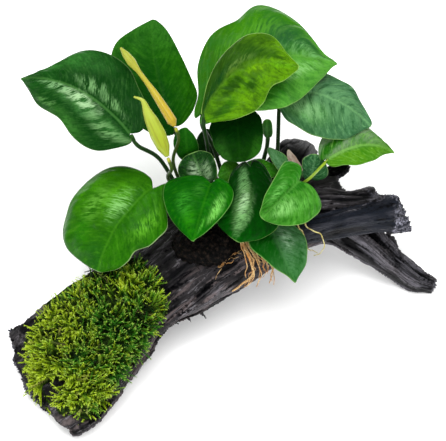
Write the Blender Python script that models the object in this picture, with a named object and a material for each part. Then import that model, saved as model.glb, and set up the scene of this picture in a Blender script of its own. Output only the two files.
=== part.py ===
"""An anubias growing on a piece of driftwood, with a cushion of moss on the low end of the wood.

Every size and place below is in millimetres, and M turns it into Blender's metres.
X runs to the right, Y away from the viewer and Z up. The floor is Z = 0.
The plan is drawn from the middle of the plant, and FOOTPRINT_CENTRE moves it so that the
origin is the middle of the footprint of the whole object.
"""

import math

import bmesh
import bpy
from mathutils import Vector, noise

# Driving dimensions
M = 0.001
FOOTPRINT_CENTRE = Vector((2.6, -2.4, 0.0))
GAP = 0.35
BLADE_THICKNESS = 0.8
STEM_RADIUS = 1.25
STEM_SIDES = 6
STEM_ROWS = 5
WOOD_SIDES = 18
MERGE = 0.02 * M

# Colours and roughness of each material, linear RGB
LOOKS = {
    "bog_wood": ((0.022, 0.019, 0.021), 0.62),
    "moss": ((0.22, 0.36, 0.03), 0.85),
    "rhizome": ((0.05, 0.09, 0.02), 0.6),
    "root_felt": ((0.02, 0.013, 0.008), 0.9),
    "root": ((0.66, 0.42, 0.17), 0.55),
    "leaf": ((0.03, 0.2, 0.012), 0.3),
    "stem": ((0.07, 0.17, 0.03), 0.4),
    "spathe": ((0.75, 0.62, 0.05), 0.45),
    "sheath": ((0.28, 0.22, 0.17), 0.7),
}


# Helpers
def material(slot):
    """One Principled material for each kind of surface, made the first time it is asked for."""
    found = bpy.data.materials.get(slot)
    if found:
        return found
    colour, roughness = LOOKS[slot]
    made = bpy.data.materials.new(slot)
    made.use_nodes = True
    shader = made.node_tree.nodes["Principled BSDF"]
    shader.inputs["Base Color"].default_value = (*colour, 1.0)
    shader.inputs["Roughness"].default_value = roughness
    shader.inputs["Metallic"].default_value = 0.0
    made.diffuse_color = (*colour, 1.0)
    return made


def finish(name, bm, slot):
    """Turns a bmesh drawn in millimetres into a named object in metres, faces outwards."""
    for vertex in bm.verts:
        vertex.co = (vertex.co - FOOTPRINT_CENTRE) * M
    bmesh.ops.remove_doubles(bm, verts=bm.verts, dist=MERGE)
    bmesh.ops.triangulate(bm, faces=bm.faces)
    bmesh.ops.recalc_face_normals(bm, faces=bm.faces)
    mesh = bpy.data.meshes.new(name)
    bm.to_mesh(mesh)
    bm.free()
    mesh.materials.append(material(slot))
    mesh.shade_smooth()
    mesh.set_sharp_from_angle(angle=math.radians(50))
    made = bpy.data.objects.new(name, mesh)
    bpy.context.scene.collection.objects.link(made)
    return made


def bent_grid(columns, rows, place):
    """A flat grid whose points are moved to place(u, v), with u and v from 0 to 1."""
    bm = bmesh.new()
    bmesh.ops.create_grid(bm, x_segments=columns, y_segments=rows, size=0.5)
    for vertex in bm.verts:
        vertex.co = place(vertex.co.x + 0.5, vertex.co.y + 0.5)
    return bm


def curve_point(points, v):
    """A point on the smooth curve through the given points, v from 0 to 1 (Catmull-Rom)."""
    spans = len(points) - 1
    span = min(int(v * spans), spans - 1)
    f = v * spans - span
    p1, p2 = points[span], points[span + 1]
    p0 = points[span - 1] if span > 0 else p1 * 2 - p2
    p3 = points[span + 2] if span + 2 <= spans else p2 * 2 - p1
    return 0.5 * (
        2 * p1
        + (p2 - p0) * f
        + (2 * p0 - 5 * p1 + 4 * p2 - p3) * f**2
        + (3 * p1 - p0 - 3 * p2 + p3) * f**3
    )


def blended(values, v):
    """A number or vector read from a list of stations, v from 0 to 1."""
    spans = len(values) - 1
    span = min(int(v * spans), spans - 1)
    f = v * spans - span
    return values[span] * (1 - f) + values[span + 1] * f


def rings_along(points, rows):
    """The place and the directions of each ring of a tube. The side is carried along without a twist."""
    rings = []
    side = None
    for row in range(rows + 1):
        along = row / rows
        ahead = curve_point(points, min(along + 0.02, 1.0)) - curve_point(points, max(along - 0.02, 0.0))
        ahead.normalize()
        side = ahead.orthogonal() if side is None else side
        side = (side - side.project(ahead)).normalized()
        rings.append((along, curve_point(points, along), ahead, side, side.cross(ahead)))
    return rings


def tube(name, path, radii, slot, sides=STEM_SIDES, rows=STEM_ROWS):
    """A round tube along a smooth path, its radius read from a list, closed at both ends."""
    rings = rings_along([Vector(p) for p in path], rows)

    def place(u, v):
        along, centre, ahead, side, up = rings[min(max(round(v * (rows + 2)) - 1, 0), rows)]
        radius = blended(radii, along)
        if v < 1e-6 or v > 1 - 1e-6:
            radius = 0.0
            centre = centre + ahead * (0.3 * radii[-1] if v > 0.5 else -0.3 * radii[0])
        turn = 2 * math.pi * u
        return centre + side * (radius * math.cos(turn)) + up * (radius * math.sin(turn))

    return finish(name, bent_grid(sides, rows + 2, place), slot)


def cut(target, cutter):
    """Takes the cutter's space out of the target."""
    modifier = target.modifiers.new("cut_" + cutter.name, "BOOLEAN")
    modifier.operation = "DIFFERENCE"
    modifier.object = cutter


def clearance_of(source, gap=GAP):
    """A hidden copy of a solid, swollen by the gap that its neighbours keep to it."""
    copy = source.copy()
    copy.data = source.data.copy()
    copy.name = source.name + "_clearance"
    bpy.context.scene.collection.objects.link(copy)
    swell = copy.modifiers.new("swell", "DISPLACE")
    swell.strength = gap * M
    swell.mid_level = 0.0
    copy.hide_render = True
    copy.display_type = "WIRE"
    return copy


# Driftwood
# A limb is a list of stations: centre, half width, half height, and how square its section is.
TRUNK = [
    ((-108, -86, 5), 41.5, 6, 3.2),
    ((-98, -80.5, 7.5), 41, 8.5, 3.4),
    ((-80, -61, 12), 36, 11, 3.2),
    ((-57, -41, 19), 30, 13, 2.9),
    ((-33, -23, 29), 33, 15, 2.6),
    ((-7, -7, 36), 34, 17, 2.4),
    ((19, 6, 38), 30, 17, 2.4),
    ((45, 23, 37), 29, 15, 2.4),
    ((60, 30, 37), 21, 13, 2.4),
    ((71, 34, 38), 11, 9, 2.2),
]
RIGHT_LEG = [
    ((52, 13, 33), 12, 11, 2.4),
    ((70, 10, 30), 12, 11, 2.6),
    ((87, 3, 23), 10, 10, 2.8),
    ((103, -6, 13), 8, 8, 2.8),
    ((117, -13, 5.5), 7, 6.5, 2.6),
    ((129, -17, 3.5), 4.5, 4, 2.4),
]
MIDDLE_STUB = [
    ((30, -8, 45), 7, 8, 2.4),
    ((56, -3, 46), 6.5, 8, 2.6),
    ((78, 3, 46), 7.5, 9, 2.8),
    ((95, 8, 45), 9.5, 10, 3.0),
    ((108, 10, 44), 9.5, 10, 3.0),
]
UPPER_BRANCH = [
    ((40, 13, 50), 9, 7, 2.4),
    ((62, 13, 51), 8, 6.5, 2.4),
    ((78, 13, 51), 5.5, 6, 2.6),
    ((92, 15, 51), 6, 5.5, 2.6),
]
BACK_LEG = [
    ((34, 36, 42), 13, 10, 2.4),
    ((44, 55, 40), 12, 9, 2.6),
    ((49, 69, 25), 11, 9, 2.6),
    ((50, 78, 8), 10, 8, 2.6),
    ((50, 81, -3), 9, 7, 2.4),
]
KNOB = [
    ((58, 34, 43), 5, 5, 2.2),
    ((69, 39, 46), 4, 4, 2.4),
    ((76, 42, 49), 3, 3.5, 2.4),
]


def rest_on_floor(bm):
    """Cuts off what is below the floor, which leaves a flat foot where the wood reaches it."""
    whole = bm.verts[:] + bm.edges[:] + bm.faces[:]
    sliced = bmesh.ops.bisect_plane(bm, geom=whole, dist=0.001, plane_no=(0, 0, 1), clear_inner=True)
    rim = [part for part in sliced["geom_cut"] if isinstance(part, bmesh.types.BMEdge)]
    if rim:
        bmesh.ops.edgeloop_fill(bm, edges=rim)


def limb(name, stations, seed, rough, sides=WOOD_SIDES, rows=10, slant=0.0):
    """A piece of wood lofted through its stations, with lengthwise ridges and torn ends.

    slant makes the underside of the far end reach further than its top.
    """
    centres = [Vector(s[0]) for s in stations]
    widths = [s[1] for s in stations]
    heights = [s[2] for s in stations]
    squares = [s[3] for s in stations]

    def place(u, v):
        along = min(max((v * (rows + 2) - 1) / rows, 0.0), 1.0)
        centre = curve_point(centres, along)
        ahead = curve_point(centres, min(along + 0.02, 1.0)) - curve_point(centres, max(along - 0.02, 0.0))
        flat_ahead = Vector((ahead.x, ahead.y, 0.0))
        flat_ahead.normalize()
        ahead.normalize()
        side = Vector((-flat_ahead.y, flat_ahead.x, 0.0))
        up = ahead.cross(side)
        turn = 2 * math.pi * u
        power = 2.0 / blended(squares, along)
        across = math.copysign(abs(math.cos(turn)) ** power, math.cos(turn))
        over = math.copysign(abs(math.sin(turn)) ** power, math.sin(turn))
        ridge = noise.noise(Vector((4 * math.cos(turn), 4 * math.sin(turn), seed + 1.6 * along)))
        swell = 1 + rough * ridge
        at_end = v < 1e-6 or v > 1 - 1e-6
        if at_end:
            swell = 0.0
        torn = noise.noise(Vector((3 * math.cos(turn), 3 * math.sin(turn), seed + 9)))
        stretch = 0.0
        if along == 0.0 or along == 1.0:
            stretch = 0.0 if at_end else torn * 0.45 * blended(heights, along)
            stretch -= slant * over * along * heights[-1]
        return (
            centre
            + side * (blended(widths, along) * across * swell)
            + up * (blended(heights, along) * over * swell)
            + ahead * stretch
        )

    bm = bent_grid(sides, rows + 2, place)
    bmesh.ops.remove_doubles(bm, verts=bm.verts, dist=MERGE / M)
    rest_on_floor(bm)
    return finish(name, bm, "bog_wood")


def driftwood():
    """The wood in its main forks, each branch cut clear of the trunk that it grows from."""
    trunk = limb("driftwood_trunk", TRUNK, seed=3.1, rough=0.14, sides=22, rows=15)
    trunk_space = clearance_of(trunk)
    spaces = [trunk_space]
    for name, stations, seed, sides, slant in (
        ("driftwood_right_leg", RIGHT_LEG, 11.7, 14, 0.0),
        ("driftwood_middle_stub", MIDDLE_STUB, 21.3, 14, 0.5),
        ("driftwood_upper_branch", UPPER_BRANCH, 31.9, 12, 0.2),
        ("driftwood_back_leg", BACK_LEG, 41.2, 14, 0.0),
        ("driftwood_knob", KNOB, 51.8, 8, 0.0),
    ):
        branch = limb(name, stations, seed, rough=0.2, sides=sides, slant=slant)
        for space in spaces:
            cut(branch, space)
        spaces.append(clearance_of(branch))
    return trunk_space


# Leaves
class Blade:
    """The curved sheet of one leaf, found from a few sizes.

    base and tip are the ends of the midrib and face is the way that the upper side looks.
    left and right are the half widths from the base on, at steps that are even half-way
    and crowd at both ends, and the tip has none.
    lobes is how far the two lobes reach back behind the base. arch lifts the middle of the
    midrib and bend moves it to the left.
    droop is how far the edges turn down, in degrees, and wave how far they ripple.
    """

    def __init__(
        self,
        name,
        base,
        tip,
        face,
        left,
        right,
        lobes=(4, 4),
        arch=4.0,
        bend=0.0,
        droop=25.0,
        wave=0.8,
        waves=2.0,
        phase=0.0,
    ):
        self.name = name
        self.base = Vector(base)
        self.chord = Vector(tip) - self.base
        facing = Vector(face)
        self.up = (facing - facing.project(self.chord)).normalized()
        self.side = self.up.cross(self.chord).normalized()
        self.left = left
        self.right = right
        self.lobes = lobes
        self.arch = arch
        self.bend = bend
        self.droop = math.radians(droop)
        self.wave = wave
        self.waves = waves
        self.phase = phase

    def midrib(self, s):
        """The point of the midrib at a share s of the way from base to tip."""
        rise = 4 * s * (1 - s)
        return self.base + self.chord * s + self.up * (self.arch * rise) + self.side * (self.bend * rise)

    def directions(self, s):
        """The along, left and up directions at s."""
        along = (self.midrib(s + 0.01) - self.midrib(s - 0.01)).normalized()
        up = (self.up - self.up.project(along)).normalized()
        return along, up.cross(along), up

    def surface(self, s, t):
        """The middle of the sheet at s along it and t across it, t from -1 (right) to 1 (left)."""
        along, left, up = self.directions(s)
        widths = self.left if t > 0 else self.right
        across = max(0.0, curve_point([*widths, 0.0], math.acos(1 - 2 * s) / math.pi))
        turn = abs(t) * self.droop
        spread = across * math.sin(turn) / self.droop
        fall = across * (1 - math.cos(turn)) / self.droop
        back = self.lobes[0 if t > 0 else 1] * (1 - s) ** 3 * math.sin(0.72 * math.pi * abs(t))
        ripple = self.wave * math.sin(2 * math.pi * (self.waves * s + self.phase + 0.27 * (t > 0)))
        return (
            self.midrib(s)
            + left * math.copysign(spread, t)
            + up * (ripple * t**2 * min(1.0, 4 * (1 - s)) - fall)
            - along * back
        )

    def stem_end(self):
        """Where the stem meets the underside of the blade, and the way that the blade goes on."""
        along, _, up = self.directions(0.0)
        return self.base - up * 1.7 - along * 0.6, along


LEAVES = [
    Blade("far_left", (-54, 23, 105), (-122, 75, 92), (-0.1, -0.3, 0.95),
          left=(4, 12, 21, 25, 25, 21, 19, 16, 8, 2), right=(8, 15, 19, 23, 29, 30, 25, 12, 4, 1),
          lobes=(5, 3), arch=7, bend=-8, droop=20, wave=1.2),
    Blade("top_left", (-29, 42, 88), (-43, 120, 95), (0.05, -0.2, 1.0),
          left=(4, 12, 18, 22, 24, 26, 26, 22, 11, 3), right=(3, 9, 16, 21, 21, 19, 16, 13, 9, 4),
          lobes=(5, 1), arch=5, bend=5, droop=14),
    Blade("top_large", (-12, 36, 108), (68, 73, 108), (0.0, -0.15, 1.0),
          left=(2, 5, 10, 25, 35, 37, 46, 25, 8, 2), right=(4, 8, 13, 20, 27, 32, 29, 23, 13, 3),
          lobes=(5, 6), arch=12, bend=12, droop=25, wave=2.0, waves=2.4),
    Blade("top_pale", (-11, 29, 116), (44, 52, 130), (0.0, -0.3, 0.95),
          left=(1, 2, 4, 8, 12, 16, 21, 19, 7, 2), right=(5, 10, 18, 23, 25, 25, 23, 14, 10, 4),
          lobes=(1, 4), arch=8, bend=12, droop=25, wave=1.2),
    Blade("right_upper", (37, 61, 98), (88, 43, 86), (0.1, -0.25, 0.95),
          left=(4, 9, 13, 16, 17, 15, 15, 9, 5, 3), right=(8, 13, 19, 22, 24, 25, 24, 20, 15, 4),
          lobes=(5, 5), arch=6, bend=4, droop=24, wave=1.2),
    Blade("right_tip", (63, 26, 77), (103, 36, 69), (0.05, -0.4, 0.9),
          left=(3, 10, 15, 17, 15, 9, 3, 1), right=(2, 6, 8, 11, 11, 9, 4, 1),
          lobes=(5, 3), arch=7, bend=5, droop=25),
    Blade("centre_round", (8, 45, 98), (10, 15, 88), (0.0, -0.5, 0.85),
          left=(4, 10, 14, 15, 15, 14, 12, 7), right=(4, 10, 14, 17, 16, 15, 12, 8), lobes=(4, 4),
          arch=4, droop=20, wave=0.5),
    Blade("small_upright", (-21, 24, 80), (-22, 33, 98), (0.0, -0.8, 0.6),
          left=(2, 5, 7, 8, 7, 4), right=(2, 5, 7, 7, 5, 2), lobes=(2, 2), arch=2, wave=0.3),
    Blade("low_left", (-41, 2, 80), (-73, -38, 52), (-0.3, -0.3, 0.9),
          left=(4, 7, 14, 23, 25, 24, 17, 16, 12, 5), right=(12, 23, 31, 37, 41, 41, 40, 39, 34, 24),
          lobes=(8, 4), arch=7, bend=-3, droop=30, wave=1.5, waves=2.2),
    Blade("front_heart", (-7, 0, 87.5), (-17, -34, 77.5), (-0.1, -0.35, 0.92),
          left=(5, 12, 15, 15, 13, 9, 5, 1), right=(12, 22, 27, 27, 24, 19, 12, 4),
          lobes=(6, 5), arch=4, wave=0.6),
    Blade("front_glossy", (16, 16, 83), (8, -27, 67), (0.1, -0.3, 0.94),
          left=(4, 9, 12, 15, 18, 20, 14, 5), right=(3, 10, 14, 16, 17, 18, 18, 15),
          lobes=(5, 5), arch=8, bend=4, droop=35),
    Blade("front_arrow", (44, -3, 94), (22, -25, 88), (0.0, -0.5, 0.86),
          left=(11, 18, 21, 21, 20, 16, 11, 5), right=(9, 14, 14, 12, 10, 8, 5, 3),
          lobes=(4, 9), arch=3, droop=20),
    Blade("front_low", (28, -9, 62), (42, -45, 51), (0.1, -0.3, 0.94),
          left=(3, 8, 14, 17, 17, 15, 11, 3), right=(3, 9, 15, 16, 12, 8, 3, 1),
          lobes=(2, 2), arch=5, bend=-2, droop=16),
    Blade("small_grey", (38, 17, 76), (27, 31, 81), (0.0, -0.4, 0.9),
          left=(2, 3, 4, 4, 3, 2), right=(2, 4, 5, 5, 3, 1), lobes=(1, 1), arch=2, wave=0.3),
    Blade("small_dark", (53, 24, 60), (55, 31, 75), (0.0, -0.8, 0.6),
          left=(3, 5, 7, 7, 7, 4), right=(4, 8, 10, 9, 7, 4), lobes=(2, 2), arch=2, wave=0.5),
    Blade("under_olive", (12, 24, 68), (34, 23, 69), (0.0, -0.3, 0.95),
          left=(2, 5, 7, 7, 5, 2), right=(2, 5, 7, 8, 6, 3), lobes=(1, 1), arch=3, wave=0.4),
    Blade("under_left", (10, 19.5, 76), (-3, 14, 75.5), (0.0, -0.3, 0.95),
          left=(2, 5, 7, 7, 6, 3), right=(2, 5, 7, 7, 5, 2), lobes=(1, 1), arch=2, wave=0.4),
    Blade("inner_dark", (-7, 39, 61), (-10, 53, 71), (0.0, -0.6, 0.8),
          left=(3, 6, 8, 8, 7, 4), right=(3, 6, 8, 8, 6, 3), lobes=(1, 1), arch=2, wave=0.5),
    Blade("inner_crumpled", (-11, 9, 75), (-18, 22, 88), (0.0, -0.7, 0.7),
          left=(4, 9, 12, 13, 11, 6), right=(3, 8, 10, 11, 10, 6),
          lobes=(1, 1), arch=-1, wave=1.4, waves=2.5),
    Blade("small_back", (27, 40, 80), (26, 44, 92), (0.0, -0.6, 0.8),
          left=(1, 2, 3, 3, 3, 2), right=(1, 2, 3, 3, 3, 2), lobes=(1, 1), arch=1, wave=0.2),
    Blade("dry_sheath", (46, 14, 80), (38, 21, 92), (0.3, -0.6, 0.7),
          left=(1, 2, 3, 3, 2, 1), right=(1, 2, 3, 3, 2, 1), lobes=(0, 0), arch=-2, droop=50, wave=0.2),
]


def leaf(blade):
    """A blade as a closed sheet of even thickness."""
    size = blade.chord.length
    rows, columns = (10, 6) if size > 50 else (8, 6) if size > 30 else (6, 4)

    def place(u, v):
        return blade.surface(0.5 - 0.5 * math.cos(math.pi * v), 2 * u - 1)

    bm = bent_grid(columns, rows, place)
    bmesh.ops.remove_doubles(bm, verts=bm.verts, dist=0.05)
    bmesh.ops.solidify(bm, geom=bm.faces[:], thickness=BLADE_THICKNESS)
    return finish("leaf_" + blade.name, bm, "sheath" if blade.name == "dry_sheath" else "leaf")


# Rhizome and stems
RHIZOME = [(-23, 2, 60), (-8, 6, 61.5), (12, 9, 62), (30, 11, 62), (46, 13, 61)]
RHIZOME_RADII = [4, 5, 5.5, 5.5, 5, 3.5]
# Where each stem leaves the rhizome: how far along it, the angle round it from its far side
# over the top to its near side, in degrees, and how the middle of the stem bows out.
FEET = {
    "far_left": (0.0, 55, (0, 8, 0)),
    "top_left": (0.2, 12, (0, 5, 0)),
    "top_large": (0.38, 20, (0, 8, -4)),
    "top_pale": (0.29, 30, (0, 9, -4)),
    "right_upper": (0.8, 15, (0, 4, 0)),
    "right_tip": (0.95, 105, (0, -8, 10)),
    "centre_round": (0.44, 15, (0, 7, 0)),
    "small_upright": (0.12, 25, (0, 3, 0)),
    "low_left": (0.04, 150, (0, -2, 2)),
    "front_heart": (0.2, 140, (0, -5, 0)),
    "front_glossy": (0.54, 95, (0, 0, 2)),
    "front_arrow": (0.86, 105, (0, 0, 4)),
    "front_low": (0.72, 150, (0, -2, 3)),
    "small_grey": (0.88, 40, (0, 2, 0)),
    "small_dark": (1.0, -20, (0, 0, -2)),
    "under_olive": (0.53, 0, (0, 0, -1)),
    "under_left": (0.45, 82, (0, 1, 0)),
    "inner_dark": (0.335, -15, (0, 0, 2)),
    "inner_crumpled": (0.23, 75, (0, 0, 0)),
    "small_back": (0.66, 15, (0, 4, -2)),
    "dry_sheath": (0.88, 75, (0, 0, 0)),
    "spathe_1": (0.05, 15, (-5, 3, 0)),
    "spathe_2": (0.01, 105, (-6, 7, -2)),
}


def rhizome_surface(share, degrees, lift):
    """A point just off the rhizome, and the way out of it there."""
    points = [Vector(p) for p in RHIZOME]
    centre = curve_point(points, share)
    along = (curve_point(points, min(share + 0.02, 1.0)) - curve_point(points, share - 0.02)).normalized()
    far = Vector((0, 0, 1)).cross(along).normalized()
    over = along.cross(far)
    turn = math.radians(degrees)
    out = far * math.cos(turn) + over * math.sin(turn)
    return centre + out * (blended(RHIZOME_RADII, share) + lift), out


def stem(name, end, onward, radius=STEM_RADIUS):
    """A leaf stem or stalk that rises out of the rhizome and bends over to its blade."""
    share, degrees, bow = FEET[name]
    start, out = rhizome_surface(share, degrees, lift=1.0)
    neck = start + out * 4
    arriving = ((end - neck).normalized() + onward * 0.5 + Vector((0, 0, 0.5))).normalized()
    last = end - arriving * min(8.0, 0.3 * (end - neck).length)
    middle = (neck + last) * 0.5 + Vector(bow)
    path = [start, neck, middle, last, end]
    return tube("stem_" + name, path, [radius * 1.25, radius, radius, radius * 0.9], "stem")


# Flowers
SPATHE_1 = [(-28, 28, 105.5), (-31, 33, 108), (-40, 46, 114), (-48, 56, 119), (-55, 65, 122.5), (-60, 71, 125)]
SPATHE_1_RADII = [0.9, 2.6, 2.5, 2.1, 1.6, 2.2, 0.6]
SPATHE_2 = [(-35, 8, 103), (-37, 13, 107), (-40, 20, 113), (-44, 27, 119), (-46, 32, 124), (-50, 34, 125)]
SPATHE_2_RADII = [1.2, 3.6, 4.4, 3.6, 2.2, 1.2, 0.6]


def spathe(name, path, radii):
    """A rolled spathe round its spadix, on its stalk."""
    tube("spathe_" + name, path, radii, "spathe", sides=8, rows=9)
    start = Vector(path[0])
    towards = (Vector(path[1]) - start).normalized()
    stem("spathe_" + name, start - towards * 1.3, towards, radius=1.0)


# Roots
ROOT_RADIUS = 1.0
ROOTS = {
    "front_1": [(13, -9, 58), (14, -18, 55), (19, -24.5, 51.5), (23.5, -31, 44), (22, -35, 33)],
    "front_2": [(9, -14, 59), (12, -22, 55.5), (16, -29, 51), (17.5, -34.5, 44), (12.5, -38, 37), (6, -41, 33)],
    "front_3": [(19, -8, 58), (20, -17, 55.5), (26, -25, 51), (29, -31, 42), (27, -34, 30)],
    "right_1": [(42, 2, 60), (45, -9, 58.5), (48.5, -14.5, 56), (51.6, -19, 50), (58, -19, 46)],
    "right_2": [(46, -1, 60), (50, -13, 60.5), (56, -15, 58), (58.5, -21, 51), (53, -24, 46)],
}


def root(name, path):
    """A root that lies over the wood and hangs off its edge."""
    radii = [ROOT_RADIUS, ROOT_RADIUS, 0.7 * ROOT_RADIUS]
    return tube("root_" + name, path, radii, "root", sides=6, rows=7)


ROOT_BALL_CENTRE = Vector((-10, -17, 50))
ROOT_BALL_SIZES = (21, 16, 10)


def root_ball():
    """The felt of fine old roots that holds the plant to the wood, a lumpy mound."""

    def place(u, v):
        turn = 2 * math.pi * u
        ring = math.sin(math.pi * v)
        way = Vector((ring * math.cos(turn), ring * math.sin(turn), math.cos(math.pi * v)))
        lump = 1 + 0.12 * noise.noise(way * 2.5)
        return ROOT_BALL_CENTRE + Vector(w * s for w, s in zip(way, ROOT_BALL_SIZES)) * lump

    return finish("root_ball", bent_grid(12, 7, place), "root_felt")


# Moss
MOSS_CENTRE = Vector((-79, -68, 22))
# How far the cushion reaches from its centre every 30 degrees, from +X round to the left.
MOSS_REACH = (42, 53, 57, 41, 36, 35, 39, 43, 45, 49, 36, 33)
MOSS_RISE = 14
MOSS_SINK = 5
WOOD_SLOPE = Vector((0.25, 0.2, 0.0))


def moss_reach(turn):
    """How far the moss reaches from its centre in one direction."""
    count = len(MOSS_REACH)
    share = (turn / (2 * math.pi)) % 1.0 * count
    first = int(share) % count
    f = share - int(share)
    f = f * f * (3 - 2 * f)
    return MOSS_REACH[first] * (1 - f) + MOSS_REACH[(first + 1) % count] * f


def moss():
    """The cushion of moss as one solid that reaches the tips of its fronds."""

    def place(u, v):
        turn = 2 * math.pi * u
        reach = moss_reach(turn) * math.sin(math.pi * v) ** 0.8
        flat = Vector((math.cos(turn), math.sin(turn), 0.0)) * reach
        level = math.cos(math.pi * v)
        height = MOSS_RISE if level > 0 else MOSS_SINK
        rise = height * math.copysign(abs(level) ** 0.7, level)
        point = MOSS_CENTRE + flat + Vector((0, 0, rise + WOOD_SLOPE.dot(flat)))
        point.z = max(point.z, 1.0)
        return point

    return finish("moss_cushion", bent_grid(20, 10, place), "moss")


# Scene
def main():
    for old in list(bpy.data.objects):
        bpy.data.objects.remove(old)
    trunk_space = driftwood()
    cushion = moss()
    cut(cushion, trunk_space)
    rhizome = tube("rhizome", RHIZOME, RHIZOME_RADII, "rhizome", sides=10, rows=8)
    cut(rhizome, trunk_space)
    ball = root_ball()
    cut(ball, trunk_space)
    cut(ball, clearance_of(rhizome))
    for blade in LEAVES:
        leaf(blade)
        stem(blade.name, *blade.stem_end())
    spathe("1", SPATHE_1, SPATHE_1_RADII)
    spathe("2", SPATHE_2, SPATHE_2_RADII)
    for name, path in ROOTS.items():
        root(name, path)


main()
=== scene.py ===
# %% [markdown]
# # An anubias on driftwood
# An anubias is a slow water plant with leathery leaves, whose roots hold on to a piece of bog wood. This
# lesson dresses the plain solids of such a plant for a studio picture. Each step makes a finer shape.

# %% Tools and the frame
import math
import random
from functools import partial
from types import SimpleNamespace

import bmesh
import bpy
import numpy as np
from mathutils import Matrix, Vector, noise


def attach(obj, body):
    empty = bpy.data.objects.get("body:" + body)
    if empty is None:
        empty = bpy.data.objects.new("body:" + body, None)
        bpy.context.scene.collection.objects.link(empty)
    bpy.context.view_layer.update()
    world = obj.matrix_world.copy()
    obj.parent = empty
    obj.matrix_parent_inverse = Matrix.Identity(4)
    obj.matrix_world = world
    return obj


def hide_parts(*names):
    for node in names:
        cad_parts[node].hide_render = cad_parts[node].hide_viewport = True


noise.seed_set(3)  # noise_vector starts from the clock where no seed is set
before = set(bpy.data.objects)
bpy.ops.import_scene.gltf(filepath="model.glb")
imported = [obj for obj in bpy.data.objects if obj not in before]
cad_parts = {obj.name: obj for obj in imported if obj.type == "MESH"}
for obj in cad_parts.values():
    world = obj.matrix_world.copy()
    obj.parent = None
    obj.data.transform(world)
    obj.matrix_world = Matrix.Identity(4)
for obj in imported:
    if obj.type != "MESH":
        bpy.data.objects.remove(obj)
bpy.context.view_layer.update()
scene = bpy.context.scene
print("the frame has", len(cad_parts), "solids")

# %% [markdown]
# ## From the plan to the frame
# The plan is in millimetres from the middle of the plant, and the frame is in metres from the middle of
# the footprint. One matrix turns the first into the second.

# %% Plan and frame
FOOTPRINT_CENTRE = Vector((2.6, -2.4, 0.0))
PLAN_TO_FRAME = Matrix.Scale(0.001, 4) @ Matrix.Translation(-FOOTPRINT_CENTRE)


def as_mesh(bm, name):
    """A mesh made from a bmesh, which is freed."""
    mesh = bpy.data.meshes.new(name)
    bm.to_mesh(mesh)
    bm.free()
    return mesh


def linked(name, data):
    """A new object in the scene."""
    made = bpy.data.objects.new(name, data)
    scene.collection.objects.link(made)
    return made


def add_piece(name, bm, skin, slot, *nodes):
    """Puts a shape drawn on the plan on the part, standing for the nodes named."""
    bmesh.ops.transform(bm, matrix=PLAN_TO_FRAME, verts=bm.verts)
    mesh = as_mesh(bm, name)
    mesh.materials.append(skin)
    mesh.shade_smooth()
    made = linked(name, mesh)
    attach(made, "root")
    if nodes:
        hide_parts(*nodes)
    mesh.calc_loop_triangles()
    print(name, "has", len(mesh.loop_triangles), "triangles")


def solid_on_plan(name):
    """A solid, brought back to the plan."""
    bm = bmesh.new()
    bm.from_mesh(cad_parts[name].data)
    bmesh.ops.remove_doubles(bm, verts=bm.verts, dist=0.00002)
    bmesh.ops.transform(bm, matrix=PLAN_TO_FRAME.inverted(), verts=bm.verts)
    return bm


def soften(bm, rounds):
    """Draws each point half-way to its neighbours, several times."""
    axes = {"use_axis_x": True, "use_axis_y": True, "use_axis_z": True}
    for _ in range(rounds):
        bmesh.ops.smooth_vert(bm, verts=bm.verts, factor=0.5, **axes)


# %% [markdown]
# ## The camera
# The plant was seen from well above, so the floor is the background. A long lens from a metre away keeps
# its lines nearly parallel.


# %% Camera
def looking_on(name, data, target, azimuth, elevation, distance):
    """An object that looks at a target from a distance; azimuth 0 is the front."""
    turn, rise = math.radians(azimuth), math.radians(elevation)
    way = Vector((math.sin(turn) * math.cos(rise), -math.cos(turn) * math.cos(rise), math.sin(rise)))
    made = linked(name, data)
    made.location = target + way * distance
    made.rotation_mode = "QUATERNION"
    made.rotation_quaternion = (-way).to_track_quat("-Z", "Y")
    return made


lens = bpy.data.cameras.new("camera")
lens.lens = 135
lens.sensor_width = 36
scene.camera = looking_on("camera", lens, PLAN_TO_FRAME @ Vector((0, 0, 50)), 0, 55, 1.0)
print("the camera stands at", [round(x, 3) for x in scene.camera.location])

# %% [markdown]
# ## Curves and sheets
# Stems, roots, limbs and leaves all start from two ideas: a smooth line through a few points, and a flat
# grid whose points are moved on to a surface.


# %% Smooth lines and bent grids
def station(values, v):
    """The span that v, from 0 to 1, falls in, and the share of the way through it."""
    spans = len(values) - 1
    span = min(int(v * spans), spans - 1)
    return span, v * spans - span


def curve_point(points, v):
    """A point on the smooth curve through the given points (Catmull-Rom)."""
    span, f = station(points, v)
    p1, p2 = points[span], points[span + 1]
    p0 = points[span - 1] if span > 0 else p1 * 2 - p2
    p3 = points[span + 2] if span + 2 < len(points) else p2 * 2 - p1
    curve = (2 * p0 - 5 * p1 + 4 * p2 - p3) * f**2
    return 0.5 * (2 * p1 + (p2 - p0) * f + curve + (3 * p1 - p0 - 3 * p2 + p3) * f**3)


def heading(points, v, first=0.0):
    """The way that the curve goes on at v, of any length. The curve isn't read before first."""
    return curve_point(points, min(v + 0.02, 1.0)) - curve_point(points, max(v - 0.02, first))


def blended(values, v):
    """A number read from a list of stations."""
    span, f = station(values, v)
    return values[span] * (1 - f) + values[span + 1] * f


def smooth(value, low, high):
    """0 at low and 1 at high, with a soft slope; low may be the larger of the two."""
    f = min(max((value - low) / (high - low), 0.0), 1.0)
    return f * f * (3 - 2 * f)


def bell(value, width):
    """1 at 0, and less the further from it."""
    return math.exp(-((value / width) ** 2))


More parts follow.
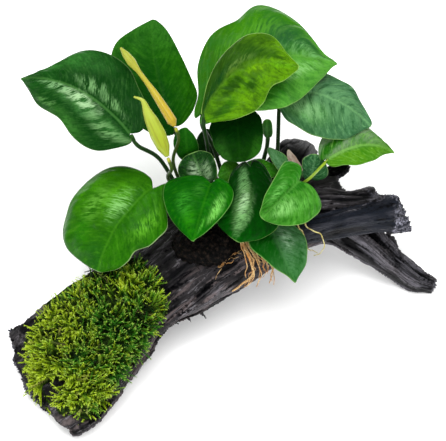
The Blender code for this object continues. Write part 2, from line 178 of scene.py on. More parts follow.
def bent_grid(columns, rows, place, *names, weld=0.01):
    """A grid welded where it meets. place(u, v) gives a point and a vector for each attribute named."""
    bm = bmesh.new()
    layers = [bm.verts.layers.float_vector.new(name) for name in names]
    bmesh.ops.create_grid(bm, x_segments=columns, y_segments=rows, size=0.5)
    for vertex in bm.verts:
        vertex.co, *marks = place(vertex.co.x + 0.5, vertex.co.y + 0.5)
        for layer, mark in zip(layers, marks):
            vertex[layer] = mark
    bmesh.ops.remove_doubles(bm, verts=bm.verts, dist=weld)
    bmesh.ops.recalc_face_normals(bm, faces=bm.faces)
    return bm


# %% [markdown]
# A tube is such a grid rolled round a line, with its first and last rows drawn to a point. An attribute
# named growth says how far along each point is, so that a material can fade from foot to top.


# %% Tubes
def rings_along(points, rows):
    """The place and directions of each ring of a tube, without a twist."""
    rings = []
    side = None
    for row in range(rows + 1):
        along = row / rows
        ahead = heading(points, along).normalized()
        side = ahead.orthogonal() if side is None else side
        side = (side - side.project(ahead)).normalized()
        rings.append((along, curve_point(points, along), ahead, side, side.cross(ahead)))
    return rings


def tube(path, radii, sides, rows, dent=None):
    """A tube along a smooth path. dent(turn, along) scales the radius."""
    points = [Vector(p) for p in path]
    length = sum((b - a).length for a, b in zip(points, points[1:]))
    rings = rings_along(points, rows)

    def place(u, v):
        along, centre, ahead, side, up = rings[min(max(round(v * (rows + 2)) - 1, 0), rows)]
        radius = blended(radii, along)
        turn = 2 * math.pi * u
        if dent:
            radius *= dent(turn, along)
        if v < 1e-6 or v > 1 - 1e-6:
            radius = 0.0
            centre = centre + ahead * (0.3 * radii[-1] if v > 0.5 else -0.3 * radii[0])
        spot = centre + side * (radius * math.cos(turn)) + up * (radius * math.sin(turn))
        return spot, (along, along * length, abs(2 * u - 1))

    return bent_grid(sides, rows + 2, place, "growth", weld=0.005)


def gathered(shapes, *names):
    """One bmesh in place of several, with the attributes named."""
    whole = bmesh.new()
    for name in names:
        whole.verts.layers.float_vector.new(name)
    for shape in shapes:
        mesh = as_mesh(shape, "part")
        whole.from_mesh(mesh)
        bpy.data.meshes.remove(mesh)
    return whole


# %% [markdown]
# ## Nodes for the materials
# Every finish is a Principled shader fed by patterns. Short helpers keep the wiring readable. Each adds
# a node to the tree of its first socket. A pattern that finishes share is a node group.


# %% Wiring helpers
def node(tree, kind, **settings):
    """A new shader node with some of its settings."""
    made = tree.nodes.new("ShaderNode" + kind)
    for key, value in settings.items():
        setattr(made, key, value)
    return made


def fill(values, sockets):
    """Links or sets sockets, one for each value."""
    for value, socket in zip(values, sockets):
        if isinstance(value, bpy.types.NodeSocket):
            socket.id_data.links.new(value, socket)
        else:
            socket.default_value = value


def plug(sockets, **values):
    """Links or sets sockets by name, with _ for a space."""
    fill(values.values(), [sockets[name.replace("_", " ")] for name in values])


def wired(kind, *values, **settings):
    """The first output of a new node, with its first inputs linked or set."""
    tree = next(value.id_data for value in values if isinstance(value, bpy.types.NodeSocket))
    made = node(tree, kind, **settings)
    fill(values, made.inputs)
    return made.outputs[0]


def figure(operation, *values):
    """A Math node."""
    return wired("Math", *values, operation=operation)


plus, minus, times = (partial(figure, operation) for operation in ("ADD", "SUBTRACT", "MULTIPLY"))


def fade(value, low, high, start=0.0, end=1.0):
    """A soft step from start to end as the value goes from low to high."""
    return wired("MapRange", value, low, high, start, end, interpolation_type="SMOOTHSTEP")


def layered(colour, *layers):
    """A colour with others laid over it in turn, each by its share."""
    for share, over in layers:
        made = node(share.id_data, "Mix", data_type="RGBA")
        colours = [(*c, 1.0) if isinstance(c, tuple) else c for c in (colour, over)]
        fill([share, *colours], [made.inputs[0], made.inputs[6], made.inputs[7]])
        colour = made.outputs[2]
    return colour


def scaled(vector, scale):
    """A vector stretched along each axis."""
    return wired("Mapping", vector, (0, 0, 0), (0, 0, 0), scale)


def joined(x, y, z=0.0):
    """A vector from three numbers."""
    return wired("CombineXYZ", x, y, z)


def parts(vector):
    """The three numbers of a vector."""
    return wired("SeparateXYZ", vector).node.outputs


def cloud(vector, scale, detail=3.0, roughness=0.55):
    """Soft noise from 0 to 1."""
    return wired("TexNoise", vector, 0.0, scale, detail, roughness)


def raised(height, strength, depth):
    """A Bump node, its depth in metres."""
    made = node(height.id_data, "Bump")
    plug(made.inputs, Height=height, Strength=strength, Distance=depth)
    return made.outputs[0]


def attribute(tree, name, output="Vector"):
    """A value that the mesh carries at its points."""
    return node(tree, "Attribute", attribute_name=name).outputs[output]


def object_place(tree):
    """The place on the object, in metres."""
    return node(tree, "TexCoord").outputs["Object"]


def finish(name, **values):
    """A material, its node tree and its Principled shader's sockets, with plain values on some of them."""
    made = bpy.data.materials.new(name)
    made.use_nodes = True
    skin = made.node_tree.nodes["Principled BSDF"].inputs
    plug(skin, **values)
    return made, made.node_tree, skin


def dress(skin, colour, gloss, height, strength, depth):
    """Links the colour, the roughness and the relief of a finish."""
    plug(skin, Base_Color=colour, Roughness=gloss, Normal=raised(height, strength, depth))


def spotted(name, specular, dapple, edges, dark, light, gloss, bump):
    """A dark finish with light spots. dapple is their noise, and edges is where it turns light."""
    made, tree, skin = finish(name, Specular_IOR_Level=specular)
    spots = cloud(object_place(tree), *dapple)
    colour = layered(dark, (fade(spots, *edges), light))
    dress(skin, colour, fade(spots, 0.3, 0.7, *gloss), spots, *bump)
    return made


def pattern(name, vectors, numbers, results):
    """A new shader node group, its inputs and outputs given as lists of words."""
    tree = bpy.data.node_groups.new(name, "ShaderNodeTree")
    ways = ("INPUT", "Vector", vectors), ("INPUT", "Float", numbers), ("OUTPUT", "Float", results)
    for way, kind, words in ways:
        for word in words.split():
            tree.interface.new_socket(word, in_out=way, socket_type="NodeSocket" + kind)
    return tree, tree.nodes.new("NodeGroupInput").outputs, tree.nodes.new("NodeGroupOutput").inputs


def placed(tree, group, **values):
    """A group put into a material, with its inputs set or linked."""
    made = node(tree, "Group", node_tree=group)
    plug(made.inputs, **values)
    return made.outputs


print("the wiring helpers are ready")

# %% [markdown]
# ## Wood grain
# Bog wood is nearly black. What shows is its grain: long grooves, fine fibres and paler ridges, which are
# worn and also carry a painted highlight. The mesh will carry a coordinate that runs along each limb, and
# this group stretches noise along it.

# %% The grain group
wood_grain, given, result = pattern("wood_grain", "Grain", "", "Ridge Fibre Stain Line")


def drawn_out(along, across, detail, roughness=0.55):
    """Noise drawn out along the grain."""
    return cloud(scaled(given["Grain"], (along, across, across)), 1.0, detail, roughness)


plug(
    result,
    Ridge=fade(drawn_out(0.035, 0.35, 6.0, 0.62), 0.42, 0.7),
    Fibre=drawn_out(0.12, 2.2, 4.0, 0.7),
    Stain=drawn_out(0.03, 0.06, 2.0),
    Line=fade(figure("ABSOLUTE", minus(drawn_out(0.025, 0.22, 3.0), 0.5)), 0.016, 0.002),
)
print("wood_grain has the sockets", [socket.name for socket in wood_grain.interface.items_tree])

# %% [markdown]
# The first number of the coordinate also tells the limbs apart, because each limb starts 400 further on.
# The stub is the bluest and darkest limb, and the right leg and the front of the trunk are the greyest:
# partly their own colour and partly painted light, where the light from the front falls on them.

# %% The wood's finish
LIMB_STEP = 400
bog_wood, tree, skin = finish("bog_wood", Specular_IOR_Level=0.3)
grain = placed(tree, wood_grain, Grain=attribute(tree, "grain"))
ridge, fibre, stain, line = (grain[name] for name in ("Ridge", "Fibre", "Stain", "Line"))
stand = attribute(tree, "stand", "Fac")
along, across, _ = parts(attribute(tree, "grain"))
leg, stub = (
    times(fade(along, start, start + 20), fade(along, end, end - 20))
    for start, end in ((LIMB_STEP, LIMB_STEP + 200), (2 * LIMB_STEP - 30, 2 * LIMB_STEP + 200))
)
front = times(fade(across, -4, -22), fade(along, 250, 200))
wear_and_highlight = times(fade(stand, 0.4, 1.5), fade(fibre, 0.42, 0.66))
speck = fade(cloud(object_place(tree), 1100.0, 2.0), 0.42, 0.6)
frayed_wood = layered((0.01, 0.01, 0.014), (speck, (0.22, 0.22, 0.27)))
colour = layered(
    (0.005, 0.005, 0.006),
    (fade(stain, 0.38, 0.62), (0.022, 0.019, 0.021)),
    # The front of the trunk: its own brown, painted paler where the light from the front falls on it.
    (times(front, fade(ridge, 0.1, 0.6)), (0.088, 0.068, 0.068)),
    (times(stub, 0.75), (0.004, 0.008, 0.017)),
    # The right leg: its own grey, painted paler like its lit front face.
    (times(leg, fade(ridge, 0.0, 0.7)), (0.075, 0.072, 0.085)),
    # Wear and a painted highlight on what stands out: ridges and corners.
    (times(wear_and_highlight, minus(0.85, times(stub, 0.65))), (0.16, 0.15, 0.17)),
    (times(line, fade(stain, 0.45, 0.65, 0.0, 0.8)), (0.17, 0.16, 0.175)),
    (fade(fibre, 0.47, 0.34), (0.003, 0.003, 0.004)),
    # Painted shade in the grooves; the back leg and knob, which stand one lower, are darkest.
    (fade(stand, 0.1, -0.9), (0.001, 0.001, 0.002)),
    (fade(attribute(tree, "torn", "Fac"), 0.1, 0.9), frayed_wood),
)
dress(skin, colour, fade(fibre, 0.2, 0.8, 0.5, 0.75), plus(times(ridge, 0.5), fibre), 0.8, 0.0006)
print("the wood's finish has", len(tree.nodes), "nodes")

# %% [markdown]
# ## The driftwood
# The real piece is one old root that forks. Each limb is lofted through the stations that shaped its
# solid: the centre, half width, half height and how square it is. It also has a seed, a roughness and a
# slant of its end. A voxel remesh then melts the limbs together.

# %% Stations of the limbs
LIMBS = {
    "driftwood_trunk": (3.1, 0.14, 0.0, [
        (-108, -86, 5, 41.5, 6, 3.2), (-98, -80.5, 7.5, 41, 8.5, 3.4), (-80, -61, 12, 36, 11, 3.2),
        (-57, -41, 19, 30, 13, 2.9), (-33, -23, 29, 33, 15, 2.6), (-7, -7, 36, 34, 17, 2.4),
        (19, 6, 38, 30, 17, 2.4), (45, 23, 37, 29, 15, 2.4), (60, 30, 37, 21, 13, 2.4),
        (71, 34, 38, 11, 9, 2.2),
    ]),
    "driftwood_right_leg": (11.7, 0.2, 0.0, [
        (52, 13, 33, 12, 11, 2.4), (70, 10, 30, 12, 11, 2.6), (87, 3, 23, 10, 10, 2.8),
        (103, -6, 13, 8, 8, 2.8), (117, -13, 5.5, 7, 6.5, 2.6), (129, -17, 3.5, 4.5, 4, 2.4),
    ]),
    "driftwood_middle_stub": (21.3, 0.2, 0.5, [
        (30, -8, 45, 7, 8, 2.4), (56, -3, 46, 6.5, 8, 2.6), (78, 3, 46, 7.5, 9, 2.8),
        (95, 8, 45, 9.5, 10, 3.0), (108, 10, 44, 9.5, 10, 3.0),
    ]),
    "driftwood_upper_branch": (31.9, 0.2, 0.2, [
        (40, 13, 50, 9, 7, 2.4), (62, 13, 51, 8, 6.5, 2.4), (78, 13, 51, 5.5, 6, 2.6),
        (92, 15, 51, 6, 5.5, 2.6),
    ]),
    "driftwood_back_leg": (41.2, 0.2, 0.0, [
        (34, 36, 42, 13, 10, 2.4), (44, 55, 40, 12, 9, 2.6), (49, 69, 25, 11, 9, 2.6),
        (50, 78, 8, 10, 8, 2.6), (50, 81, -3, 9, 7, 2.4),
    ]),
    "driftwood_knob": (51.8, 0.2, 0.0, [
        (58, 34, 43, 5, 5, 2.2), (69, 39, 46, 4, 4, 2.4), (76, 42, 49, 3, 3.5, 2.4),
    ]),
}
TRUNK, LEG, STUB, BRANCH, BACK_LEG, KNOB = range(len(LIMBS))


def limb_frame(stations, share):
    """The centre of a limb, its ahead, side and up directions, half width, half height and squareness."""
    centres = [Vector(s[:3]) for s in stations]
    ahead = heading(centres, share)
    side = Vector((-ahead.y, ahead.x, 0.0)).normalized()
    ahead.normalize()
    sizes = (blended([s[column] for s in stations], share) for column in (3, 4, 5))
    return curve_point(centres, share), ahead, side, ahead.cross(side), *sizes


def limb(seed, rough, slant, stations, sides=64, rows=90):
    """A limb lofted through its stations, with lengthwise swells and torn ends. A very broad end bulges."""
    broad = stations[0][3] > 40

    def place(u, v):
        along = min(max((v * (rows + 2) - 1) / rows, 0.0), 1.0)
        centre, ahead, side, up, width, height, square = limb_frame(stations, along)
        c, s = math.cos(2 * math.pi * u), math.sin(2 * math.pi * u)
        across = math.copysign(abs(c) ** (2.0 / square), c)
        over = math.copysign(abs(s) ** (2.0 / square), s)
        capped = v < 1e-6 or v > 1 - 1e-6
        swell = 0.0 if capped else 1 + rough * noise.noise(Vector((4 * c, 4 * s, seed + 1.6 * along)))
        reach = 0.0
        if swell and along in (0.0, 1.0):
            reach = 0.45 * height * noise.noise(Vector((3 * c, 3 * s, seed + 9)))
        reach -= slant * over * smooth(along, 0.93, 1.0) * height * (swell > 0)
        if broad:
            reach += (1.5 - 4.5 * across - 9 * (1 - across**2)) * smooth(along, 0.12, 0.0)
        return [centre + side * (width * across * swell) + up * (height * over * swell) + ahead * reach]

    return bent_grid(sides, rows + 2, place)


# %% Fusing the limbs
VOXEL = 0.0009
fused = gathered([limb(*shape) for shape in LIMBS.values()])
bmesh.ops.transform(fused, matrix=PLAN_TO_FRAME, verts=fused.verts)
rough_wood = linked("rough", as_mesh(fused, "rough"))
melt = rough_wood.modifiers.new("melt", "REMESH")
melt.mode = "VOXEL"
melt.voxel_size = VOXEL
wood = bmesh.new()
wood.from_object(rough_wood, bpy.context.evaluated_depsgraph_get())
bpy.data.objects.remove(rough_wood)
bmesh.ops.transform(wood, matrix=PLAN_TO_FRAME.inverted(), verts=wood.verts)
soften(wood, 3)
print("the fused wood has", len(wood.faces), "faces")

# %% [markdown]
# Every point of the wood now looks for the limb that it belongs to. Its place along and across that limb
# is its grain coordinate, so grooves run along the limb and draw together where it tapers. Four more
# numbers say whether it lies at a torn end, on the calm rear ledge, on a frayed top or on a corner.


# %% Finding the grain
STEPS = 60
samples = []
for _, _, _, stations in LIMBS.values():
    walked = 0.0
    last = None
    for step in range(STEPS + 1):
        centre, ahead, side, up, width, height, _ = limb_frame(stations, step / STEPS)
        walked += (centre - last).length if last else 0.0
        last = centre
        samples.append((*centre, *ahead, *side, *up, width, height, walked, step / STEPS))
samples = np.array(samples)


def ramp(value, low, span):
    """0 up to low, and 1 a span further on."""
    return np.clip((value - low) / span, 0.0, 1.0)


def limb_grain(some):
    """The grain coordinate of some points, and the four shares."""
    away = some[:, None, :] - samples[None, :, 0:3]
    ahead, across, over = (np.einsum("ijk,jk->ij", away, samples[:, i : i + 3]) for i in (3, 6, 9))
    across /= samples[:, 12]
    over /= samples[:, 13]
    best = (across**2 + over**2 + (ahead / 6.0) ** 2).argmin(1)
    ahead, across, over = (values[np.arange(len(some)), best] for values in (ahead, across, over))
    width, height, walked, share = samples[best, 12:].T
    which = best // (STEPS + 1)
    size = (9 + 0.35 * (width * height) ** 0.5) * np.where(which == BACK_LEG, 0.35, 1.0)
    past = np.maximum(share - 0.985, 0.0) + np.maximum(0.015 - share, 0.0)
    end = ramp(past, 0.0, 0.015) * (which < KNOB)
    ledge = ramp(share, 0.84, 0.08) * (which == TRUNK) + 0.6 * (which == BACK_LEG)
    frayed = ramp(share, 0.84, 0.06) * ((which == STUB) + 0.4 * (which == BRANCH))
    corner = ramp(np.abs(across * over), 0.38, 0.2) * ((which == LEG) | (which == STUB))
    along = walked + ahead + LIMB_STEP * which
    return np.stack([along, across * size * 1.5, over * size, end, ledge, frayed, corner], axis=1)


points = np.array([vertex.co for vertex in wood.verts])
grain_rows = np.vstack([limb_grain(points[i : i + 4000]) for i in range(0, len(points), 4000)])
print("grain runs from", grain_rows.min(0).round(1), "to", grain_rows.max(0).round(1))

# %% [markdown]
# The grooves are cut into the mesh itself, because they show at the outline, and the finest fibres are
# left to the finish. A notch is taken out of the front edge, where the photo shows one.


# %% Cutting the grooves
def wave(at, along, across, shift=0.0):
    """Noise at a place in the grain, from -1 to 1, drawn out along it."""
    return noise.noise(Vector((at[0] * along + shift, at[1] * across, at[2] * across)))


def groove(at):
    """How far the wood stands out at a place in its grain, in millimetres."""
    broad = wave(at, 0.022, 0.16)
    ridges = abs(wave(at, 0.03, 0.42, 7))
    fine = abs(wave(at, 0.07, 1.1, 3))
    crack = smooth(abs(wave(at, 0.016, 0.22, 31)), 0.05, 0.0)
    bumps = wave(at, 0.07, 0.12, 50)
    return 1.8 * broad + 1.5 * bumps + 1.6 * ridges + 0.9 * fine - 1.6 * crack - 0.6


NOTCH = Vector((-31, -52, 15))
NOTCH_DEPTH = 6
NOTCH_RADIUS = 11
wood.normal_update()
grain_layer = wood.verts.layers.float_vector.new("grain")
torn_layer = wood.verts.layers.float.new("torn")
stand_layer = wood.verts.layers.float.new("stand")
for vertex, (*at, end, ledge, frayed, corner) in zip(wood.verts, grain_rows.tolist()):
    vertex[grain_layer] = at
    patchy = smooth(noise.noise(vertex.co * 0.3), -0.25, 0.1)
    vertex[torn_layer] = max(0.5 * end * smooth(abs(vertex.normal.z), 0.95, 0.5), frayed * patchy)
    on_stub = 2 * LIMB_STEP < at[0] < 2 * LIMB_STEP + 200
    calm = (1 - 0.9 * ledge) * (0.5 if on_stub and frayed == 0 else 1)
    height = groove(at) * calm + 1.2 * frayed * noise.noise(vertex.co * 0.9)
    # Corners are raised only in stand, which the finish reads: high places are painted pale, as wear and a
    # painted highlight, and low ones dark, as painted shade.
    worn_and_lit_corner = 1.6 * corner * smooth(noise.noise(vertex.co * 0.08), -0.4, 0.1)
    vertex[stand_layer] = height + worn_and_lit_corner - (at[0] > BACK_LEG * LIMB_STEP)
    height -= NOTCH_DEPTH * bell((vertex.co - NOTCH).length, NOTCH_RADIUS)
    vertex.co += vertex.normal * height
    if end > 0:
        vertex.co += vertex.normal * (2.2 * wave(at, 0.05, 1.3) * end)
    vertex.co.z = max(vertex.co.z, 0.05)
add_piece("driftwood", wood, bog_wood, "bog_wood", *LIMBS)

# %% [markdown]
# Some shreds of bark stand off the right leg and the front edge. Each is a flattened, wandering tube.

# %% Shreds
SHREDS = [
    [(94, 8, 25), (98, 9.5, 27.5), (101, 7, 27), (103, 4.5, 24.5)],
    [(99, 2, 23), (103, 4.5, 25), (106, 1.5, 22.5), (107.5, -2.5, 19.5)],
    [(103, -3, 18), (107, -1.5, 20), (110, -5, 18), (112, -8, 14)],
    [(98, 4, 24), (102, 7, 26), (105, 8, 25)],
    [(-34, -44, 15), (-31, -47, 14), (-27, -49, 12)],
    [(-26, -43, 17), (-22, -46, 16), (-19, -49, 14)],
    [(-18, -41, 19), (-14, -44, 18), (-10, -48, 17)],
]


def shred(path):
    """A flat shred of bark that twists and wanders."""
    flat = 0.4 + 0.3 * noise.noise(Vector(path[-1]))

    def twisted(turn, along):
        return 0.45 + flat * abs(math.cos(turn + 2 * along))

    shape = tube(path, [1.7, 1.5, 1.2, 0.2], 10, 26, twisted)
    for vertex in shape.verts:
        vertex.co += noise.noise_vector(vertex.co * 1.1) * 0.9
    return shape


add_piece("shreds", gathered([shred(path) for path in SHREDS], "growth"), bog_wood, "bog_wood")

# %% [markdown]
# ## Leaves
# An anubias leaf is a stiff, waxy sheet. Side veins leave its midrib and bow towards the tip, and the
# skin between them swells a little. The sheet follows the rule that shaped the solid: a bowed midrib,
# half widths on each side, lobes at the base and edges that turn down and ripple.


# %% The rule for one blade
class Blade:
    """The curved sheet of one leaf, found from a few sizes.

    base and tip are the ends of the midrib, and face is the way that the upper side looks. left and
    right are the half widths from the base on. Their steps crowd at both ends, and the tip has none.
    lobes is how far the two lobes reach back behind the base. arch lifts the middle of the midrib and
    bend moves it to the left. droop is how far the edges turn down, in degrees, and wave how far they
    ripple.
    """

    USUAL = {"lobes": (4, 4), "arch": 4.0, "bend": 0.0, "droop": 25.0, "wave": 0.8, "waves": 2.0}

    def __init__(self, name, base, tip, face, left, right, **sizes):
        vars(self).update(self.USUAL, name=name, left=left, right=right)
        vars(self).update(sizes)
        self.base = Vector(base)
        self.chord = Vector(tip) - self.base
        facing = Vector(face)
        self.up = (facing - facing.project(self.chord)).normalized()
        self.side = self.up.cross(self.chord).normalized()
        self.droop = math.radians(self.droop)

    def midrib(self, s):
        """The point of the midrib at a share s of the way from base to tip."""
        rise = 4 * s * (1 - s)
        return self.base + self.chord * s + self.up * (self.arch * rise) + self.side * (self.bend * rise)

    def directions(self, s):
        """The along, left and up directions at s."""
        along = (self.midrib(s + 0.01) - self.midrib(s - 0.01)).normalized()
        up = (self.up - self.up.project(along)).normalized()
        return along, up.cross(along), up

    def half_width(self, s, t):
        """How wide the sheet is at s, on the side that t lies on."""
        widths = self.left if t > 0 else self.right
        return max(0.0, curve_point([*widths, 0.0], math.acos(min(max(1 - 2 * s, -1.0), 1.0)) / math.pi))

    def surface(self, s, t):
        """The middle of the sheet at s along it and t across it, t from -1 (right) to 1 (left)."""
        along, left, up = self.directions(s)
        across = self.half_width(s, t)
        turn = abs(t) * self.droop
        spread = across * math.sin(turn) / self.droop
        fall = across * (1 - math.cos(turn)) / self.droop
        behind = self.lobes[0 if t > 0 else 1] * (1 - s) ** 3 * math.sin(0.72 * math.pi * abs(t))
        ripple = self.wave * math.sin(2 * math.pi * (self.waves * s + 0.27 * (t > 0)))
        lift = ripple * t**2 * min(1.0, 4 * (1 - s)) - fall
        return self.midrib(s) + left * math.copysign(spread, t) + up * lift - along * behind

    def stem_end(self):
        """Where the stem meets the underside of the blade, and the way that the blade goes on."""
        along, _, up = self.directions(0.0)
        return self.base - up * 1.7 - along * 0.6, along


# %% The blades of this plant
BLADES = [
    Blade("far_left", (-54, 23, 105), (-122, 75, 92), (-0.1, -0.3, 0.95),
        (4, 12, 21, 25, 25, 21, 19, 16, 8, 2), (8, 15, 19, 23, 29, 30, 25, 12, 4, 1), lobes=(5, 3), arch=7,
        bend=-8, droop=20, wave=1.2),
    Blade("top_left", (-29, 42, 88), (-43, 120, 95), (0.05, -0.2, 1.0),
        (4, 12, 18, 22, 24, 26, 26, 22, 11, 3), (3, 9, 16, 21, 21, 19, 16, 13, 9, 4), lobes=(5, 1), arch=5,
        bend=5, droop=14),
    Blade("top_large", (-12, 36, 108), (68, 73, 108), (0.0, -0.15, 1.0),
        (2, 5, 10, 25, 35, 38, 48, 30, 8, 2), (4, 8, 13, 20, 27, 32, 29, 23, 13, 3), lobes=(5, 6), arch=12,
        bend=12, wave=2.0, waves=2.4),
    Blade("top_pale", (-11, 29, 116), (44, 52, 130), (0.0, -0.3, 0.95), (1, 2, 4, 8, 12, 16, 21, 19, 7, 2),
        (5, 10, 18, 23, 25, 25, 23, 14, 10, 4), lobes=(1, 4), arch=8, bend=12, wave=1.2),
    Blade("right_upper", (37, 61, 98), (88, 43, 86), (0.1, -0.25, 0.95),
        (4, 9, 13, 16, 17, 15, 15, 9, 5, 3), (8, 13, 19, 22, 24, 25, 24, 20, 15, 4), lobes=(5, 5), arch=6,
        bend=4, droop=24, wave=1.2),
    Blade("right_tip", (63, 26, 77), (103, 36, 69), (0.05, -0.4, 0.9), (3, 10, 15, 17, 15, 9, 3, 1),
        (2, 6, 8, 11, 11, 9, 4, 1), lobes=(5, 3), arch=7, bend=5),
    Blade("centre_round", (8, 45, 98), (10, 15, 88), (0.0, -0.5, 0.85), (4, 10, 14, 15, 15, 14, 12, 7),
        (4, 10, 14, 17, 16, 15, 12, 8), droop=20, wave=0.5),
    Blade("small_upright", (-21, 24, 80), (-22, 33, 98), (0.0, -0.8, 0.6), (2, 5, 7, 8, 7, 4),
        (2, 5, 7, 7, 5, 2), lobes=(2, 2), arch=2, wave=0.3),
    Blade("low_left", (-41, 2, 80), (-73, -38, 52), (-0.3, -0.3, 0.9),
        (4, 7, 14, 23, 25, 24, 17, 16, 12, 5), (12, 23, 31, 37, 41, 41, 40, 39, 34, 24), lobes=(8, 4),
        arch=7, bend=-3, droop=30, wave=1.5, waves=2.2),
    Blade("front_heart", (-7, 0, 87.5), (-17, -34, 77.5), (-0.1, -0.35, 0.92), (5, 12, 15, 15, 13, 9, 5, 1),
        (12, 22, 27, 27, 24, 19, 12, 4), lobes=(6, 5), wave=0.6),
    Blade("front_glossy", (16, 16, 83), (8, -27, 67), (0.1, -0.3, 0.94), (4, 9, 12, 15, 18, 20, 14, 5),
        (3, 10, 14, 16, 17, 18, 18, 15), lobes=(5, 5), arch=8, bend=4, droop=35),
    Blade("front_arrow", (44, -3, 94), (22, -25, 88), (0.0, -0.5, 0.86), (11, 18, 21, 21, 20, 16, 11, 5),
        (9, 14, 14, 12, 10, 8, 5, 3), lobes=(4, 9), arch=3, droop=20),
    Blade("front_low", (28, -9, 62), (42, -45, 51), (0.1, -0.3, 0.94), (3, 8, 14, 17, 17, 15, 11, 3),
        (3, 9, 15, 16, 12, 8, 3, 1), lobes=(2, 2), arch=5, bend=-2, droop=16),
    Blade("small_grey", (38, 17, 76), (27, 31, 81), (0.0, -0.4, 0.9), (2, 3, 4, 4, 3, 2),
        (2, 4, 5, 5, 3, 1), lobes=(1, 1), arch=2, wave=0.3),
    Blade("small_dark", (53, 24, 60), (55, 31, 75), (0.0, -0.8, 0.6), (3, 5, 7, 7, 7, 4),
        (4, 8, 10, 9, 7, 4), lobes=(2, 2), arch=2, wave=0.5),
    Blade("under_olive", (12, 24, 68), (34, 23, 69), (0.0, -0.3, 0.95), (2, 5, 7, 7, 5, 2),
        (2, 5, 7, 8, 6, 3), lobes=(1, 1), arch=3, wave=0.4),
    Blade("under_left", (10, 19.5, 76), (-3, 14, 75.5), (0.0, -0.3, 0.95), (2, 5, 7, 7, 6, 3),
        (2, 5, 7, 7, 5, 2), lobes=(1, 1), arch=2, wave=0.4),
    Blade("inner_dark", (-7, 39, 61), (-10, 53, 71), (0.0, -0.6, 0.8), (3, 6, 8, 8, 7, 4),
        (3, 6, 8, 8, 6, 3), lobes=(1, 1), arch=2, wave=0.5),
    Blade("inner_crumpled", (-11, 9, 75), (-18, 22, 88), (0.0, -0.7, 0.7), (4, 9, 12, 13, 11, 6),
        (3, 8, 10, 11, 10, 6), lobes=(1, 1), arch=-1, wave=1.4, waves=2.5),
    Blade("small_back", (27, 40, 80), (26, 44, 92), (0.0, -0.6, 0.8), (1, 2, 3, 3, 3, 2),
        (1, 2, 3, 3, 3, 2), lobes=(1, 1), arch=1, wave=0.2),
    Blade("dry_sheath", (46, 14, 80), (38, 21, 92), (0.3, -0.6, 0.7), (1, 2, 3, 3, 2, 1),
        (1, 2, 3, 3, 2, 1), lobes=(0, 0), arch=-2, droop=50, wave=0.2),
]
print("the plant has", len(BLADES), "blades")

# %% [markdown]
# Two attributes carry the pattern. blade holds the share across, the share along and the distance to the
# edge in millimetres. sheet holds the distance from the midrib, the swell between the veins and whether
# the point is on the underside.

# %% Relief of a blade
THICKNESS = 0.75


def relief(blade, s, t, looks):
    """How far the skin stands above the middle of the sheet, and the swell between two veins."""
    phase = (s - looks.lean * abs(t) ** 1.4) * looks.veins + (0.5 if t > 0 else 0.0)
    swell = 1 - abs(2 * (phase % 1.0) - 1) ** 2.2
    calm = smooth(abs(t), 0.0, 0.15) * smooth(abs(t), 1.0, 0.75) * smooth(s, 0.0, 0.12)
    calm *= smooth(s, 1.0, 0.85)
    width = blade.half_width(s, t)
    crease = bell(abs(t) * width, 1.1) * smooth(s, 1.0, 0.8)
    place = blade.base * 0.3 + Vector((s * blade.chord.length, t * width, 0)) / 17
    middle = smooth(abs(t), 1.0, 0.8) * smooth(s, 1.0, 0.9) * smooth(s, 0.0, 0.1)
    billow = noise.noise(place) * middle
    ribbed = Vector((phase * 1.7, t * 1.5, blade.base.x * 0.1))
    pucker = (noise.noise(place * 2.9) + noise.noise(ribbed * 1.6)) * middle
    ribs = looks.quilt * swell * calm * smooth(noise.noise(place * 1.7), -0.35, 0.35) * 1.5
    return ribs - 0.45 * crease + looks.billow * billow + looks.wrinkle * pucker, 1 - (1 - swell) * calm


def leaf_shape(blade, looks):
    """A blade as a flattened tube: over the upper skin from right to left and back under it."""
    length = blade.chord.length
    columns, rows = (60, 110) if length > 50 else (52, 84) if length > 30 else (28, 44)

    def place(u, v):
        under = float(u > 0.5 + 1e-6)
        x = 3 - 4 * u if under else 4 * u - 1
        t = x - 0.5 * math.sin(2 * math.pi * x) / (2 * math.pi)
        s = 0.15 * v + 0.85 * (0.5 - 0.5 * math.cos(math.pi * v))
        width = blade.half_width(s, t)
        across = abs(t) * width
        height, swell = relief(blade, s, t, looks)
        _, left, up = blade.directions(s)
        turn = t * blade.droop
        skin = 0.5 * THICKNESS * max(1 - abs(t) ** 12, 0.0) ** 0.5 * smooth(s, 0.0, 0.006)
        skin *= smooth(s, 1.0, 0.994)
        if under:
            skin = -skin * (1 + 2.2 * bell(across, 1.2) * (1 - 0.75 * s))
        spot = blade.surface(s, t) + up * height + (up * math.cos(turn) + left * math.sin(turn)) * skin
        return spot, (t, s, max(min(width - across, (1 - s) * length), 0.0)), (across, swell, under)

    return bent_grid(2 * columns, rows, place, "blade", "sheet")


# %% [markdown]
# ## The leaf's finish
# A leaf is darker between its veins and paler on them, with painted shade in the grooves along them. It has
# a thin pale rim, partly its margin's own green and partly a painted edge highlight, and a dull, pale
# underside. All leaves share one pattern, and each mixes its own greens with it, since old leaves are dark
# and young ones light. Ragged patches are paler or darker: the leaf's own tone, and in places painted light
# and painted shade. A painted highlight is such a patch broken up by the fine ribs that catch the light.

